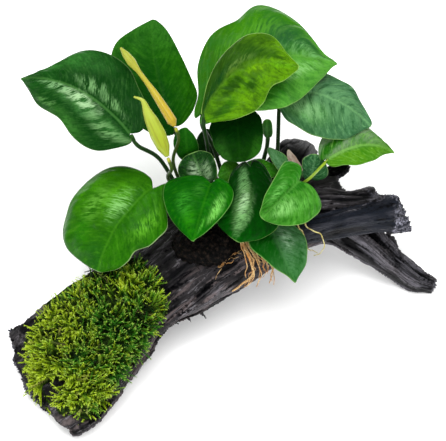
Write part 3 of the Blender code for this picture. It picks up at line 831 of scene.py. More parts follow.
# %% The leaf group
leaf_pattern, given, result = pattern(
    "leaf_pattern", "Blade Sheet Place", "Veins Lean", "Vein Streak Fine Swell Midrib Rim Cloud Grain Under"
)
t, s, edge = parts(given["Blade"])
across, swell, under = parts(given["Sheet"])
out = figure("ABSOLUTE", t)
bowed = minus(s, times(figure("POWER", out, 1.4), given["Lean"]))
run = plus(times(bowed, given["Veins"]), times(figure("GREATER_THAN", t, 0.0), 0.5))
comb = figure("ABSOLUTE", minus(figure("FRACT", run), 0.5))
streak = cloud(joined(times(run, 2.4), times(t, 3.6)), 1.0, 4.0, 0.6)
plug(
    result,
    Vein=times(times(fade(comb, 0.38, 0.5), fade(out, 1.0, 0.6)), fade(streak, 0.35, 0.6)),
    Streak=streak,
    Fine=cloud(joined(times(run, 9.0), times(t, 7.0), s), 1.0, 3.0, 0.65),
    Swell=swell,
    Midrib=fade(across, 1.1, 0.3),
    Rim=fade(edge, 0.75, 0.2),
    Cloud=cloud(given["Place"], 90.0, 5.0, 0.65),
    Grain=cloud(given["Place"], 650.0, 2.0, 0.65),
    Under=under,
)
print("leaf_pattern has", len(leaf_pattern.nodes), "nodes")


# %% One finish for each leaf
def shares(green):
    """A colour written in thousandths, as shares from 0 to 1."""
    return tuple(x / 1000 for x in green)


def leaf_finish(name, looks):
    """A leaf's material. A patch or painted highlight is its place across and along, its size and its
    green.
    """
    made, tree, skin = finish("leaf_" + name, Specular_IOR_Level=looks.wax)
    blade = attribute(tree, "blade")
    places = {"Blade": blade, "Sheet": attribute(tree, "sheet"), "Place": object_place(tree)}
    marks = placed(tree, leaf_pattern, **places, Veins=float(looks.veins), Lean=looks.lean)
    t, s, _ = parts(blade)
    flat = joined(t, s)
    vein, streak, fine, swell, midrib, rim, dapple, grain, under = marks
    wander = times(minus(streak, 0.5), looks.ragged)
    left, right, tip, deep, pale, rim_and_edge_light = (
        shares(green) for green in (looks.left, looks.right, looks.tip, looks.deep, looks.vein, looks.rim)
    )

    def patch(t, s, size):
        away = wired("VectorMath", flat, (t, s, 0.0), operation="DISTANCE").node.outputs["Value"]
        return fade(plus(away, wander), size, 0.25 * size)

    # These strokes break the painted highlights up along the fine ribs.
    ribs = plus(plus(fine, streak), times(minus(swell, 0.6), looks.ribbed))
    highlight_strokes = fade(ribs, 0.88 - looks.soft, 1.16 + looks.soft)
    colour = layered(
        right,
        (fade(t, -0.25, 0.25), left),
        (fade(s, 0.45, 1.0), tip),
        # Patches: the leaf's own paler and darker tones, and in places painted light and painted shade.
        *((patch(*row[:3]), shares(row[3:])) for row in looks.patches),
        (fade(dapple, 0.45, 0.62, 0.0, looks.mottle), deep),
        # Painted shade in the grooves along the veins.
        (fade(swell, 0.55, 0.1, 0.0, looks.groove), deep),
        (fade(streak, 0.5, 0.36, 0.0, looks.streak), deep),
        (fade(streak, 0.52, 0.7, 0.0, 0.7 * looks.streak), pale),
        (fade(fine, 0.5, 0.36, 0.0, looks.lines), deep),
        (fade(fine, 0.52, 0.66, 0.0, 0.6 * looks.lines), pale),
        (fade(grain, 0.5, 0.35, 0.0, 0.3), deep),
        (fade(grain, 0.55, 0.75, 0.0, 0.1), pale),
        # Painted highlights, broken into strokes along the fine ribs.
        *((times(patch(*row[:3]), highlight_strokes), shares(row[3:])) for row in looks.glints),
        (times(vein, looks.show), pale),
        (times(midrib, looks.spine), pale),
        # The pale rim: partly the margin's own green, partly a painted edge highlight.
        (times(rim, looks.edge), rim_and_edge_light),
        (under, (0.05, 0.12, 0.02)),
    )
    gloss = plus(fade(dapple, 0.3, 0.7, looks.polish, looks.polish + 0.08), times(under, 0.3))
    height = plus(plus(streak, times(fine, 2 * looks.lines)), times(dapple, 1.5))
    dress(skin, colour, gloss, height, 0.6, 0.0006)
    return made


# %% [markdown]
# The looks of the leaves are written as they differ from the usual ones, with greens in thousandths.
# veins is how many side veins there are, and lean how far they sweep forward. quilt, billow and wrinkle
# are how far the skin swells. groove, which is painted shade in the vein grooves, and lines, streak and
# mottle are shares of the deep green, and show, spine and edge are shares of the pale ones; the pale rim
# is partly a painted edge highlight. ragged, ribbed and soft shape the patches of tone and shading and
# the painted highlights. wax is how strongly the leaf reflects, and polish is how rough it is.

# %% The greens of each leaf
USUAL_LOOKS = dict(
    left=(12, 98, 2), right=(12, 98, 2), tip=(18, 110, 4), deep=(2, 42, 1), vein=(59, 210, 30),
    rim=(150, 290, 71), veins=8, lean=0.32, quilt=0.5, billow=1.2, wrinkle=0.3, groove=0.35, lines=0.12,
    show=0.12, streak=0.3, mottle=0.5, spine=0.25, edge=0.8, ragged=0.4, ribbed=0.0, soft=0.0, wax=0.03,
    polish=0.24, patches=[], glints=[],
)
LOOKS = dict(
    far_left=dict(left=(3, 31, 3), right=(2, 26, 2), tip=(6, 52, 5), deep=(2, 26, 2), vein=(40, 130, 25),
        veins=9, quilt=0.7, wrinkle=0.35, lines=0.3, streak=0.4, spine=0.5, edge=0.3, ribbed=0.3, wax=0.035,
        patches=[(0.3, 0.45, 0.3, 30, 120, 25), (0.3, 0.2, 0.22, 25, 110, 20),
        (-0.7, 0.75, 0.45, 17, 96, 13), (0.9, 0.45, 0.3, 20, 90, 12)],
        glints=[(0.2, 0.45, 0.26, 220, 360, 180), (-0.22, 0.42, 0.2, 90, 200, 70),
        (-0.2, 0.22, 0.16, 80, 180, 60), (0.4, 0.15, 0.26, 80, 180, 60), (0.15, 0.68, 0.18, 120, 250, 100),
        (0.75, 0.7, 0.15, 60, 160, 40)]),
    top_left=dict(left=(10, 69, 2), right=(9, 69, 1), tip=(16, 88, 7), deep=(2, 34, 1), vein=(31, 130, 9),
        quilt=0.2, groove=0.15, lines=0.2, show=0.05, streak=0.4, spine=0.1, edge=0.2, wax=0.02,
        patches=[(0.2, 0.0, 1.0, 1, 33, 1)]),
    # top_large: its lime right half is partly painted light, and the dark patch at -0.6 across is painted
    # shadow of top_pale.
    top_large=dict(left=(15, 77, 1), right=(52, 199, 20), tip=(58, 209, 22), deep=(11, 85, 7),
        vein=(90, 250, 35), quilt=0.7, billow=2.0, wrinkle=0.7, mottle=0.4, soft=0.08, wax=0.04,
        patches=[(0.75, 0.62, 0.35, 27, 130, 1), (0.35, 0.72, 0.36, 10, 55, 14),
        (-0.6, 0.4, 0.4, 12, 90, 3), (0.2, 0.55, 0.15, 12, 70, 16)],
        glints=[(-0.35, 0.68, 0.28, 150, 340, 100), (0.15, 0.84, 0.22, 90, 240, 70),
        (0.5, 0.5, 0.3, 50, 190, 10)]),
    top_pale=dict(left=(14, 48, 3), right=(56, 167, 2), tip=(79, 209, 2), deep=(9, 41, 2),
        vein=(60, 150, 12), rim=(220, 370, 84), quilt=0.35, billow=2.6, wrinkle=1.3, lines=0.1, mottle=0.6,
        ragged=0.3, patches=[(0.3, 0.15, 0.4, 3, 30, 5), (-0.75, 0.3, 0.35, 75, 200, 2),
        (-0.1, 0.88, 0.25, 85, 250, 3), (-0.2, 0.35, 0.2, 10, 45, 1), (-0.45, 0.52, 0.14, 14, 60, 1),
        (0.35, 0.6, 0.3, 12, 50, 3), (-0.15, 0.65, 0.16, 100, 240, 2), (0.1, 0.4, 0.1, 50, 110, 10),
        (0.2, 0.8, 0.14, 20, 70, 2), (-0.5, 0.15, 0.2, 20, 90, 2)], glints=[(0.25, 0.5, 0.2, 60, 120, 20)]),
    right_upper=dict(left=(46, 125, 54), right=(38, 117, 43), tip=(38, 117, 48), deep=(9, 55, 14),
        vein=(150, 340, 130), quilt=1.0, groove=0.6, show=0.3, streak=0.45, ribbed=0.3, soft=0.1,
        patches=[(-0.5, 0.3, 0.4, 83, 240, 64)], glints=[(0.0, 0.5, 0.7, 65, 170, 65),
        (-0.45, 0.3, 0.3, 130, 280, 110)]),
    right_tip=dict(left=(100, 158, 86), right=(53, 166, 5), tip=(53, 166, 7), deep=(18, 110, 2),
        vein=(150, 350, 59), show=0.3, streak=0.5, spine=0.4, patches=[(0.4, 0.1, 0.3, 5, 63, 2)]),
    centre_round=dict(left=(1, 20, 1), right=(1, 22, 1), tip=(4, 31, 1), deep=(1, 14, 1), vein=(6, 45, 2),
        rim=(30, 120, 20), quilt=0.2, show=0.1, spine=0.2, edge=0.4, wax=0.015,
        patches=[(0.8, 0.85, 0.4, 12, 70, 4), (-0.7, 0.8, 0.4, 12, 60, 6)]),
    small_upright=dict(left=(4, 54, 1), right=(4, 54, 1), tip=(7, 68, 3), deep=(1, 31, 1),
        vein=(20, 120, 6), edge=0.2),
    low_left=dict(left=(14, 95, 1), right=(13, 77, 1), tip=(14, 94, 1), deep=(6, 55, 1), vein=(50, 190, 8),
        rim=(260, 360, 160), quilt=0.6, billow=1.8, streak=0.5, wax=0.04,
        patches=[(-0.3, 0.3, 0.3, 45, 190, 4), (-0.15, 0.9, 0.25, 9, 70, 4), (-0.5, 0.75, 0.25, 12, 100, 1),
        (-0.75, 0.4, 0.3, 30, 150, 1)], glints=[(-0.2, 0.33, 0.24, 130, 310, 80),
        (-0.5, 0.45, 0.26, 70, 220, 20), (0.6, 0.35, 0.3, 60, 220, 10)]),
    front_heart=dict(left=(4, 83, 1), right=(2, 55, 1), tip=(3, 83, 1), deep=(1, 40, 1), vein=(20, 140, 3),
        rim=(100, 250, 50), billow=1.8, show=0.1, streak=0.5, soft=0.08, wax=0.015,
        patches=[(0.6, 0.5, 0.26, 50, 230, 15), (0.1, 0.0, 0.35, 1, 50, 1), (-0.3, 0.7, 0.3, 10, 120, 1)],
        glints=[(0.6, 0.45, 0.34, 130, 380, 70), (-0.2, 0.2, 0.2, 20, 120, 10),
        (0.3, 0.75, 0.2, 50, 240, 20), (-0.45, 0.45, 0.3, 20, 160, 10)]),
    front_glossy=dict(left=(1, 19, 1), right=(1, 22, 1), tip=(1, 56, 1), deep=(1, 15, 1), vein=(4, 60, 3),
        quilt=0.35, spine=0.1, soft=0.2, wax=0.025, polish=0.18, glints=[(-0.34, 0.25, 0.3, 100, 240, 80),
        (-0.25, 0.55, 0.42, 100, 220, 70), (-0.25, 0.55, 0.22, 300, 460, 250),
        (-0.15, 0.74, 0.3, 120, 280, 90)]),
    # front_arrow: dark patches along the midrib and near the base are painted shade, the pale one a painted
    # highlight.
    front_arrow=dict(left=(36, 167, 13), right=(16, 122, 7), tip=(32, 152, 13), deep=(8, 80, 2),
        vein=(80, 250, 40), quilt=0.8, groove=0.5, show=0.3, streak=0.6, soft=0.1, wax=0.04,
        patches=[(0.12, 0.1, 0.2, 8, 85, 3), (0.0, 0.3, 0.16, 10, 90, 3), (-0.05, 0.55, 0.14, 12, 100, 4),
        (-0.6, 0.2, 0.35, 14, 110, 4), (0.35, 0.65, 0.25, 60, 230, 30)],
        glints=[(0.3, 0.6, 0.35, 160, 380, 100), (-0.4, 0.5, 0.3, 100, 300, 60),
        (0.55, 0.3, 0.2, 80, 280, 40)]),
    front_low=dict(left=(52, 133, 56), right=(1, 44, 1), tip=(33, 120, 33), deep=(2, 51, 2),
        vein=(30, 130, 25), streak=0.5, wax=0.015, glints=[(0.35, 0.35, 0.3, 160, 280, 160)]),
    small_grey=dict(left=(54, 150, 57), right=(38, 130, 38), tip=(46, 140, 46), deep=(15, 72, 15),
        vein=(120, 270, 120), veins=6, show=0.3, streak=0.6),
    small_dark=dict(left=(23, 90, 31), right=(15, 72, 20), tip=(20, 84, 26), deep=(6, 50, 11),
        vein=(130, 310, 130), veins=6, quilt=0.8, show=0.5, streak=0.6, ribbed=0.3),
    under_olive=dict(left=(38, 220, 5), right=(38, 230, 5), deep=(9, 90, 3), wax=0.05),
    under_left=dict(left=(30, 110, 6), right=(22, 110, 4), deep=(6, 50, 2)),
    inner_dark=dict(left=(2, 20, 1), right=(3, 22, 2), tip=(4, 24, 2), deep=(1, 6, 1), vein=(10, 40, 6),
        edge=0.1),
    inner_crumpled=dict(left=(4, 31, 4), right=(6, 35, 6), tip=(6, 35, 6), deep=(1, 20, 1), veins=6,
        quilt=0.8, billow=2.6, wrinkle=0.7, ribbed=0.2, soft=0.05, wax=0.12, polish=0.2,
        glints=[(0.2, 0.45, 0.45, 200, 300, 170), (-0.4, 0.35, 0.4, 160, 260, 130)]),
    small_back=dict(left=(41, 120, 34), right=(27, 96, 20), deep=(7, 48, 7)),
    dry_sheath=dict(left=(290, 240, 190), right=(220, 170, 130), tip=(310, 260, 200), deep=(120, 76, 51),
        vein=(340, 290, 240), rim=(340, 290, 220), veins=5, quilt=0.2, wax=0.0),
)
for blade in BLADES:
    looks = SimpleNamespace(**{**USUAL_LOOKS, **LOOKS[blade.name]})
    slot = "sheath" if blade.name == "dry_sheath" else "leaf"
    skin = leaf_finish(blade.name, looks)
    add_piece("blade_" + blade.name, leaf_shape(blade, looks), skin, slot, "leaf_" + blade.name)

# %% [markdown]
# ## Rhizome and stems
# The leaves rise from a creeping stem, the rhizome, which lies on the wood. A leaf stem is thicker where
# it leaves the rhizome, and has a pale knee just below the blade, where the leaf turns to the light.


# %% Stem finishes
def stem_finish(name, foot, top, knee_green):
    """A smooth stem that grows paler from its foot to the knee below the blade."""
    made, tree, skin = finish(name, Specular_IOR_Level=0.15)
    along, _, _ = parts(attribute(tree, "growth"))
    spots = cloud(scaled(object_place(tree), (1.0, 1.0, 0.35)), 900.0)
    colour = layered(
        foot,
        (fade(along, 0.1, 0.9), top),
        (fade(along, 0.9, 0.98), knee_green),
        (fade(spots, 0.5, 0.75, 0.0, 0.6), foot),
    )
    dress(skin, colour, fade(spots, 0.3, 0.7, 0.35, 0.5), spots, 0.3, 0.0002)
    return made


stem_skin = stem_finish("stem_skin", (0.004, 0.014, 0.003), (0.008, 0.035, 0.004), (0.02, 0.07, 0.01))
young_stem = stem_finish("young_stem", (0.08, 0.16, 0.008), (0.24, 0.36, 0.02), (0.26, 0.4, 0.05))
flower_stem = stem_finish("flower_stem", (0.004, 0.014, 0.003), (0.03, 0.06, 0.005), (0.3, 0.3, 0.03))
print("three stem finishes are ready")

# %% Rhizome
RHIZOME = [Vector(p) for p in ((-23, 2, 60), (-8, 6, 61.5), (12, 9, 62), (30, 11, 62), (46, 13, 61))]
RHIZOME_RADII = [4, 5, 5.5, 5.5, 5, 3.5]


def leaf_scars(turn, along):
    """Rings round the rhizome where old leaves sat."""
    return 1 + 0.06 * math.cos(2 * math.pi * 11 * along + math.sin(turn)) + 0.03 * math.cos(3 * turn)


rhizome_skin = spotted(
    "rhizome_skin", 0.35, (420.0, 5.0, 0.65), (0.35, 0.7),
    (0.015, 0.035, 0.008), (0.09, 0.1, 0.035), (0.5, 0.7), (0.5, 0.0006),
)
creeping_stem = tube(RHIZOME, RHIZOME_RADII, 32, 110, leaf_scars)
add_piece("creeping_stem", creeping_stem, rhizome_skin, "rhizome", "rhizome")

# %% [markdown]
# Where each stem leaves the rhizome is a share of the way along it, an angle round it, and a bow of the
# stem's middle.

# %% Stems
FEET = {
    "far_left": (0.0, 55, (0, 8, 0)), "top_left": (0.2, 12, (0, 5, 0)),
    "top_large": (0.38, 20, (0, 8, -4)), "top_pale": (0.29, 30, (0, 9, -4)),
    "right_upper": (0.8, 15, (0, 4, 0)), "right_tip": (0.95, 105, (0, -8, 10)),
    "centre_round": (0.44, 15, (0, 7, 0)), "small_upright": (0.12, 25, (0, 3, 0)),
    "low_left": (0.04, 150, (0, -2, 2)), "front_heart": (0.2, 140, (0, -5, 0)),
    "front_glossy": (0.54, 95, (0, 0, 2)), "front_arrow": (0.86, 105, (0, 0, 4)),
    "front_low": (0.72, 150, (0, -2, 3)), "small_grey": (0.88, 40, (0, 2, 0)),
    "small_dark": (1.0, -20, (0, 0, -2)), "under_olive": (0.53, 0, (0, 0, -1)),
    "under_left": (0.45, 82, (0, 1, 0)), "inner_dark": (0.335, -15, (0, 0, 2)),
    "inner_crumpled": (0.23, 75, (0, 0, 0)), "small_back": (0.66, 15, (0, 4, -2)),
    "dry_sheath": (0.88, 75, (0, 0, 0)), "spathe_1": (0.05, 15, (-5, 3, 0)),
    "spathe_2": (0.01, 105, (-6, 7, -2)),
}
STEM_RADII = (1.25, 1.0, 1.0, 0.9)
LEAF_STEM = 1.25
YOUNG = 0.7
UP = Vector((0, 0, 1))


def knee(turn, along):
    """A stem swells at its foot and at the knee below the blade."""
    return 1 + 0.35 * smooth(along, 0.12, 0.0) + 0.16 * bell(along - 0.92, 0.05)


def stem(name, end, onward, thickness):
    """A stem from the rhizome to its blade, which it meets at end and which goes onward from there."""
    share, degrees, bow = FEET[name]
    along = heading(RHIZOME, share, first=-1.0).normalized()
    far = UP.cross(along).normalized()
    turn = math.radians(degrees)
    way = far * math.cos(turn) + along.cross(far) * math.sin(turn)
    start = curve_point(RHIZOME, share) + way * (blended(RHIZOME_RADII, share) + 0.4)
    neck = start + way * 4.6
    arriving = ((end - neck).normalized() + onward * 0.5 + UP * 0.5).normalized()
    last = end - arriving * min(8.0, 0.3 * (end - neck).length)
    path = [start, neck, (neck + last) * 0.5 + Vector(bow), last, end]
    return tube(path, [radius * thickness for radius in STEM_RADII], 14, 44, knee)


for blade in BLADES:
    name, skin, thickness = blade.name, stem_skin, LEAF_STEM
    if name == "right_tip":
        skin, thickness = young_stem, LEAF_STEM * YOUNG
    add_piece("stalk_" + name, stem(name, *blade.stem_end(), thickness), skin, "stem", "stem_" + name)

# %% [markdown]
# ## Flowers
# An anubias flower is a spathe, one small leaf rolled into a spindle round the flower spike. A turn of
# the section that grows slowly outwards and then drops back gives the lip of that roll.

# %% Spathes
SPATHES = {
    "1": (
        [(-28, 28, 105.5), (-31, 33, 108), (-40, 46, 114), (-48, 56, 119), (-55, 65, 122.5),
         (-60, 71, 125)],
        [0.9, 2.8, 2.6, 2.1, 1.4, 1.3, 2.5, 1.9, 0.5], (0.36, 0.25, 0.008), (0.25, 0.28, 0.02),
    ),
    "2": (
        [(-32, 8, 103), (-34.5, 13, 107), (-38.5, 20, 113), (-43, 27, 119), (-46, 32, 124), (-51, 34, 125)],
        [1.2, 3.6, 4.4, 3.6, 2.0, 0.9, 0.5], (0.22, 0.28, 0.004), (0.28, 0.34, 0.035),
    ),
}


def rolled(turn, along):
    """The section of a rolled leaf, with its lip winding slowly round the spindle."""
    u = (turn / (2 * math.pi) + 0.25 + 0.3 * along) % 1.0
    return 0.94 + 0.2 * min(u / 0.93, (1 - u) / 0.07) + 0.02 * math.sin(9 * turn)


for number, (path, radii, low, high) in SPATHES.items():
    spathe_skin, tree, skin = finish("spathe_" + number, Specular_IOR_Level=0.4, Coat_Weight=0.15)
    along, millimetres, seam = parts(attribute(tree, "growth"))
    streak = cloud(joined(times(millimetres, 0.06), times(seam, 9.0)), 1.0, 4.0)
    colour = layered(
        low,
        (fade(along, 0.1, 0.9), high),
        (fade(streak, 0.45, 0.7, 0.0, 0.6), (0.15, 0.13, 0.006)),
        (fade(seam, 0.12, 0.0, 0.0, 0.5), (0.45, 0.5, 0.12)),
    )
    dress(skin, colour, fade(streak, 0.3, 0.7, 0.4, 0.55), streak, 0.4, 0.0004)
    flower = "spathe_" + number
    add_piece("flower_" + number, tube(path, radii, 48, 70, rolled), spathe_skin, "spathe", flower)
    start, second = Vector(path[0]), Vector(path[1])
    towards = (second - start).normalized()
    shape = stem(flower, start - towards * 1.3, towards, 1.0)
    add_piece("flower_stalk_" + number, shape, flower_stem, "stem", "stem_" + flower)

# %% [markdown]
# ## Roots
# Living roots are cream to orange and hang over the edge of the wood. Older ones die back into a dark
# felt that grips it: a lumpy mound with a coat of fine fibres, each a tube of only a few faces.


# %% Root finishes
def root_finish(name, dark, light):
    """An uneven root with dark flecks of bark."""
    made, tree, skin = finish(name, Specular_IOR_Level=0.3)
    spots = cloud(object_place(tree), 260.0, 4.0)
    fleck = cloud(object_place(tree), 1500.0, 2.0)
    bark = (fade(fleck, 0.48, 0.66, 0.0, 0.85), (0.13, 0.055, 0.02))
    colour = layered(dark, (fade(spots, 0.35, 0.65), light), bark)
    dress(skin, colour, fade(spots, 0.3, 0.7, 0.5, 0.65), fleck, 0.4, 0.0002)
    return made


root_skin = root_finish("root_skin", (0.4, 0.18, 0.045), (0.54, 0.38, 0.18))
fresh_root = root_finish("fresh_root", (0.4, 0.36, 0.08), (0.6, 0.55, 0.26))
fibre_skin = spotted(
    "fibre_skin", 0.15, (500.0, 4.0), (0.45, 0.8),
    (0.002, 0.002, 0.002), (0.03, 0.02, 0.014), (0.8, 0.95), (0.8, 0.0008),
)
print("three root finishes are ready")

# %% Living roots
ROOTS = {
    "front_1": [(13, -9, 58), (14, -18, 55), (19, -24.5, 51.5), (23.5, -31, 44), (22, -35, 33)],
    "front_2": [(9, -14, 59), (12, -22, 55.5), (16, -29, 51), (17.5, -34.5, 44), (12.5, -38, 37),
                (6, -41, 33)],
    "front_3": [(19, -8, 58), (20, -17, 55.5), (26, -25, 51), (29, -31, 42), (27, -34, 30)],
    "right_1": [(42, 2, 60), (45, -9, 58.5), (48.5, -14.5, 56), (51.6, -19, 50), (58, -19, 46)],
    "right_2": [(46, -1, 60), (50, -13, 60.5), (56, -15, 58), (58.5, -21, 51), (53, -24, 46)],
}
THICK, MEDIUM, THIN = [0.8, 0.75, 0.5], [0.5, 0.45, 0.3], [0.4, 0.35, 0.2]
chance = random.Random(5)


def scatter(z_spread=1.0):
    """A random step, drawn along X, Y and Z in turn."""
    return Vector((chance.gauss(0, 1), chance.gauss(0, 1), chance.gauss(0, z_spread)))


def knobbly(turn, along):
    """A root's uneven thickness."""
    return 1 + 0.22 * noise.noise(Vector((math.cos(turn) * 0.6, math.sin(turn) * 0.6, along * 14)))


def strayed(path, reach, amount):
    """A share of a path, from its start, drawn again through points that have wandered a little."""
    points = [Vector(point) for point in path]
    drift = Vector((chance.gauss(0, 1), chance.gauss(0, 1), 0)) * 1.6
    moved = []
    for share in (place / 10 for place in range(11)):
        astray = (scatter(0.6) * amount + drift * share) * min(1.0, 0.3 + 2 * share)
        moved.append(curve_point(points, share * reach) + astray)
    return moved


for name, path in ROOTS.items():
    radii = THICK if name == "front_2" else MEDIUM if "front" in name else THIN
    shape = tube(strayed(path, 1.0, 0.35), radii, 12, 70, knobbly)
    add_piece("living_" + name, shape, root_skin if "front" in name else fresh_root, "root", "root_" + name)
strands = []
for name in ["front_1"] * 6 + ["front_2"] * 5 + ["front_3"] * 4:
    strand = strayed(ROOTS[name], chance.uniform(0.6, 0.95), 0.7)
    strands.append(tube(strand, [0.45, 0.4, 0.2], 6, 40, knobbly))
add_piece("rootlets", gathered(strands, "growth"), root_skin, "root")

# %% Root felt
FIBRES = 420
felt = solid_on_plan("root_ball")
bmesh.ops.subdivide_edges(felt, edges=felt.edges, cuts=5, use_grid_fill=True)
soften(felt, 4)
felt.normal_update()
for vertex in felt.verts:
    vertex.co += vertex.normal * (1.3 * noise.fractal(vertex.co * 0.35, 0.8, 2.0, 4) - 0.5)
felt_points = [(vertex.co.copy(), vertex.normal.copy()) for vertex in felt.verts if vertex.normal.z > 0.05]
add_piece("root_felt", felt, fibre_skin, "root_felt", "root_ball")


def fibre():
    """A thin fibre that lies along the felt, with both ends in it."""
    start, way = felt_points[chance.randrange(len(felt_points))]
    drift = scatter(0.5)
    drift = (drift - way * drift.dot(way)).normalized()
    length = chance.uniform(3, 8)
    middle = start + way * chance.uniform(0.3, 1.3) + drift * length * 0.5
    end = middle + drift * length * 0.5 - way * chance.uniform(0.0, 1.6)
    return tube([start - way * 0.4, middle, end], [0.16, 0.14, 0.06], 3, 4)


add_piece("felt_fibres", gathered([fibre() for _ in range(FIBRES)], "growth"), fibre_skin, "root_felt")

# %% [markdown]
# A few pale rootlets creep round the front rim of the felt.

# %% Felt rootlets
rim = [(p, way) for p, way in felt_points if way.y < -0.6 and p.z < 50 and abs(p.x + 8) < 13]
creepers = []
for _ in range(14):
    start, way = rim[chance.randrange(len(rim))]
    sideways = way.cross(UP).normalized() * chance.choice((-1, 1))
    places = [start - way * 0.5]
    for _ in range(4):
        places.append(places[-1] + sideways * 1.7 + way * 0.5 + scatter() * 0.7)
    creepers.append(tube(places, [0.22, 0.18, 0.1], 6, 20, knobbly))
add_piece("felt_rootlets", gathered(creepers, "growth"), root_skin, "root_felt")

# %% [markdown]
# ## Moss
# The moss is a cushion of thousands of feathery fronds. One frond is a thin curved stem with pairs of
# small pointed leaves. A few such fronds of different bend are copied all over, most with their tips near
# the surface of the solid, so the moss reaches about as far. Neighbours lean the same way, in tufts.

# %% One frond
FROND_LENGTH = 12.0
PAIRS = 9


def spike(bm, bottom, top, depth):
    """The points of a new three-sided cone."""
    made = bmesh.ops.create_cone(bm, cap_ends=True, segments=3, radius1=bottom, radius2=top, depth=depth)
    return made["verts"]


def frond(bend):
    """A feathery moss frond that grows along Z from the origin, in millimetres."""
    bm = bmesh.new()
    growth = bm.verts.layers.float_vector.new("growth")

    def stem_point(share):
        rise = share * FROND_LENGTH * (1 - 0.15 * bend * share)
        return Vector((bend * share**2 * FROND_LENGTH, 0.0, rise))

    foot = [v for v in spike(bm, 0.35, 0.3, 1.0) if v.co.z < 0]
    upright = [e for v in foot for e in v.link_edges if e.other_vert(v).co.z > 0.4]
    bmesh.ops.subdivide_edges(bm, edges=upright, cuts=2)
    for vertex in bm.verts:
        share = vertex.co.z + 0.5
        vertex.co = stem_point(share) + Vector((vertex.co.x, vertex.co.y, 0))
        vertex[growth] = (0.0, share, 0.0)
    for sign, start in ((-1, 1.2), (1, 1.6)):
        for pair in range(PAIRS):
            share = (pair + start) / (PAIRS + 1.0)
            points = spike(bm, 0.5, 0.0, 2.2)
            turn = Matrix.Rotation(math.radians(58 - 22 * share) * sign, 4, "X")
            shift = Matrix.Diagonal((0.6, 1.0, 1.0, 1.0)) @ Matrix.Translation((0, 0, 0.9))
            for vertex in points:
                vertex[growth] = (0.0, min(1.0, share * 0.9 + 0.06 * (vertex.co.z + 1.1)), 0.0)
            size = Matrix.Scale(1.25 - 0.6 * share, 4)
            place = Matrix.Translation(stem_point(share)) @ turn @ size @ shift
            bmesh.ops.transform(bm, matrix=place, verts=points)
    return bm


templates = [as_mesh(frond(bend), "frond") for bend in (0.15, 0.35, 0.6, 0.9)]
print("a frond has", len(templates[0].polygons), "faces")

# %% Where the fronds end
cushion = solid_on_plan("moss_cushion")
bmesh.ops.triangulate(cushion, faces=cushion.faces)
cushion.normal_update()
shell = [face for face in cushion.faces if face.normal.z > -0.35]
areas = np.array([face.calc_area() for face in shell])
print("the cushion's skin is", round(areas.sum()), "square millimetres")

# %% [markdown]
# The moss is yellower at the left. Its tips are paler where they catch the light, partly their young green
# and partly a painted highlight, and deep down it is painted dark as shade. BARE holds two ovals, each a
# centre and two half widths, where the wood shows.

# %% Moss finish
moss_skin, tree, skin = finish("moss_skin", Specular_IOR_Level=0.15)
age, up_frond, wither = parts(attribute(tree, "growth"))
tone = fade(age, 0.05, 0.95)
colour = layered(
    layered((0.003, 0.035, 0.001), (tone, (0.055, 0.12, 0.001))),
    # Paler towards the tips: their young green, and painted light.
    (fade(up_frond, 0.5, 0.95), layered((0.035, 0.17, 0.005), (tone, (0.31, 0.43, 0.008)))),
    # A painted highlight at the very tips.
    (fade(up_frond, 0.88, 1.0, 0.0, 0.5), (0.5, 0.65, 0.12)),
    # Painted shade deep down among the fronds.
    (fade(up_frond, 0.2, 0.62, 0.97, 0.0), (0.002, 0.008, 0.0)),
    (fade(wither, 0.96, 1.0, 0.0, 0.6), (0.2, 0.15, 0.06)),
)
plug(skin, Base_Color=colour, Roughness=fade(wither, 0.0, 1.0, 0.5, 0.7))

# %% Planting the fronds
MOSS_CENTRE = Vector((-79, -68, 22))
BARE = ((-114, -76, 8, 5), (-102, -101, 9, 7))
FRONDS = 2900
PIECES = 2
picker = np.random.default_rng(11)
chosen = picker.choice(len(shell), size=FRONDS, p=areas / areas.sum())
spread = picker.random((FRONDS, 6)).tolist()


def in_oval(spot, oval):
    """Less than 1 inside an oval on the floor."""
    x, y, width, height = oval
    return ((spot.x - x) / width) ** 2 + ((spot.y - y) / height) ** 2


def planted(face, first, second, sideways, forwards, shade, vigour):
    """The place of a frond that ends on a face, with its tone and wither, or None outside the moss."""
    corners = [vertex.co for vertex in face.verts]
    first, second = (first, second) if first + second < 1 else (1 - first, 1 - second)
    tip = corners[0] + (corners[1] - corners[0]) * first + (corners[2] - corners[0]) * second
    if any(in_oval(tip, oval) < 1 for oval in BARE):
        return None
    normal = face.normal.copy()
    tuft = noise.noise_vector(tip * 0.11) * 1.5
    loose = Vector((sideways - 0.5, forwards - 0.5, shade - 0.5))
    combed = smooth(tip.y, MOSS_CENTRE.y + 15, MOSS_CENTRE.y - 25)
    outward = Vector((tip.x - MOSS_CENTRE.x, tip.y - MOSS_CENTRE.y, -8 * combed)) / (45 - 20 * combed)
    way = (normal * 0.7 + tuft + loose + outward).normalized()
    if way.dot(normal) < 0.25:
        way = (way + normal * 0.45).normalized()
    tip = tip - normal * (5.0 * smooth(noise.noise(tip * 0.2), 0.0, 0.3) * (1 - combed * 0.5))
    off = tip - MOSS_CENTRE
    size = 0.6 + 0.45 * vigour + 0.2 * combed + 0.25 * smooth(off.length, 36, 46)
    root = tip - way * (FROND_LENGTH * size * 0.95)
    if off.length > 30 and (root - MOSS_CENTRE).length > off.length - 2:
        return None
    turn = way.to_track_quat("Z", "Y").to_matrix().to_4x4() @ Matrix.Rotation(6.28 * first, 4, "Z")
    centre = smooth((off - Vector((8, 2, 0))).length, 42, 12)
    patch = 0.9 * noise.noise(tip * 0.09) - 0.4 * off.normalized().x - 0.3 * centre
    tone = 0.63 + patch + 0.7 * (shade - 0.5)
    return Matrix.Translation(root) @ turn @ Matrix.Scale(size, 4), (tone, vigour)


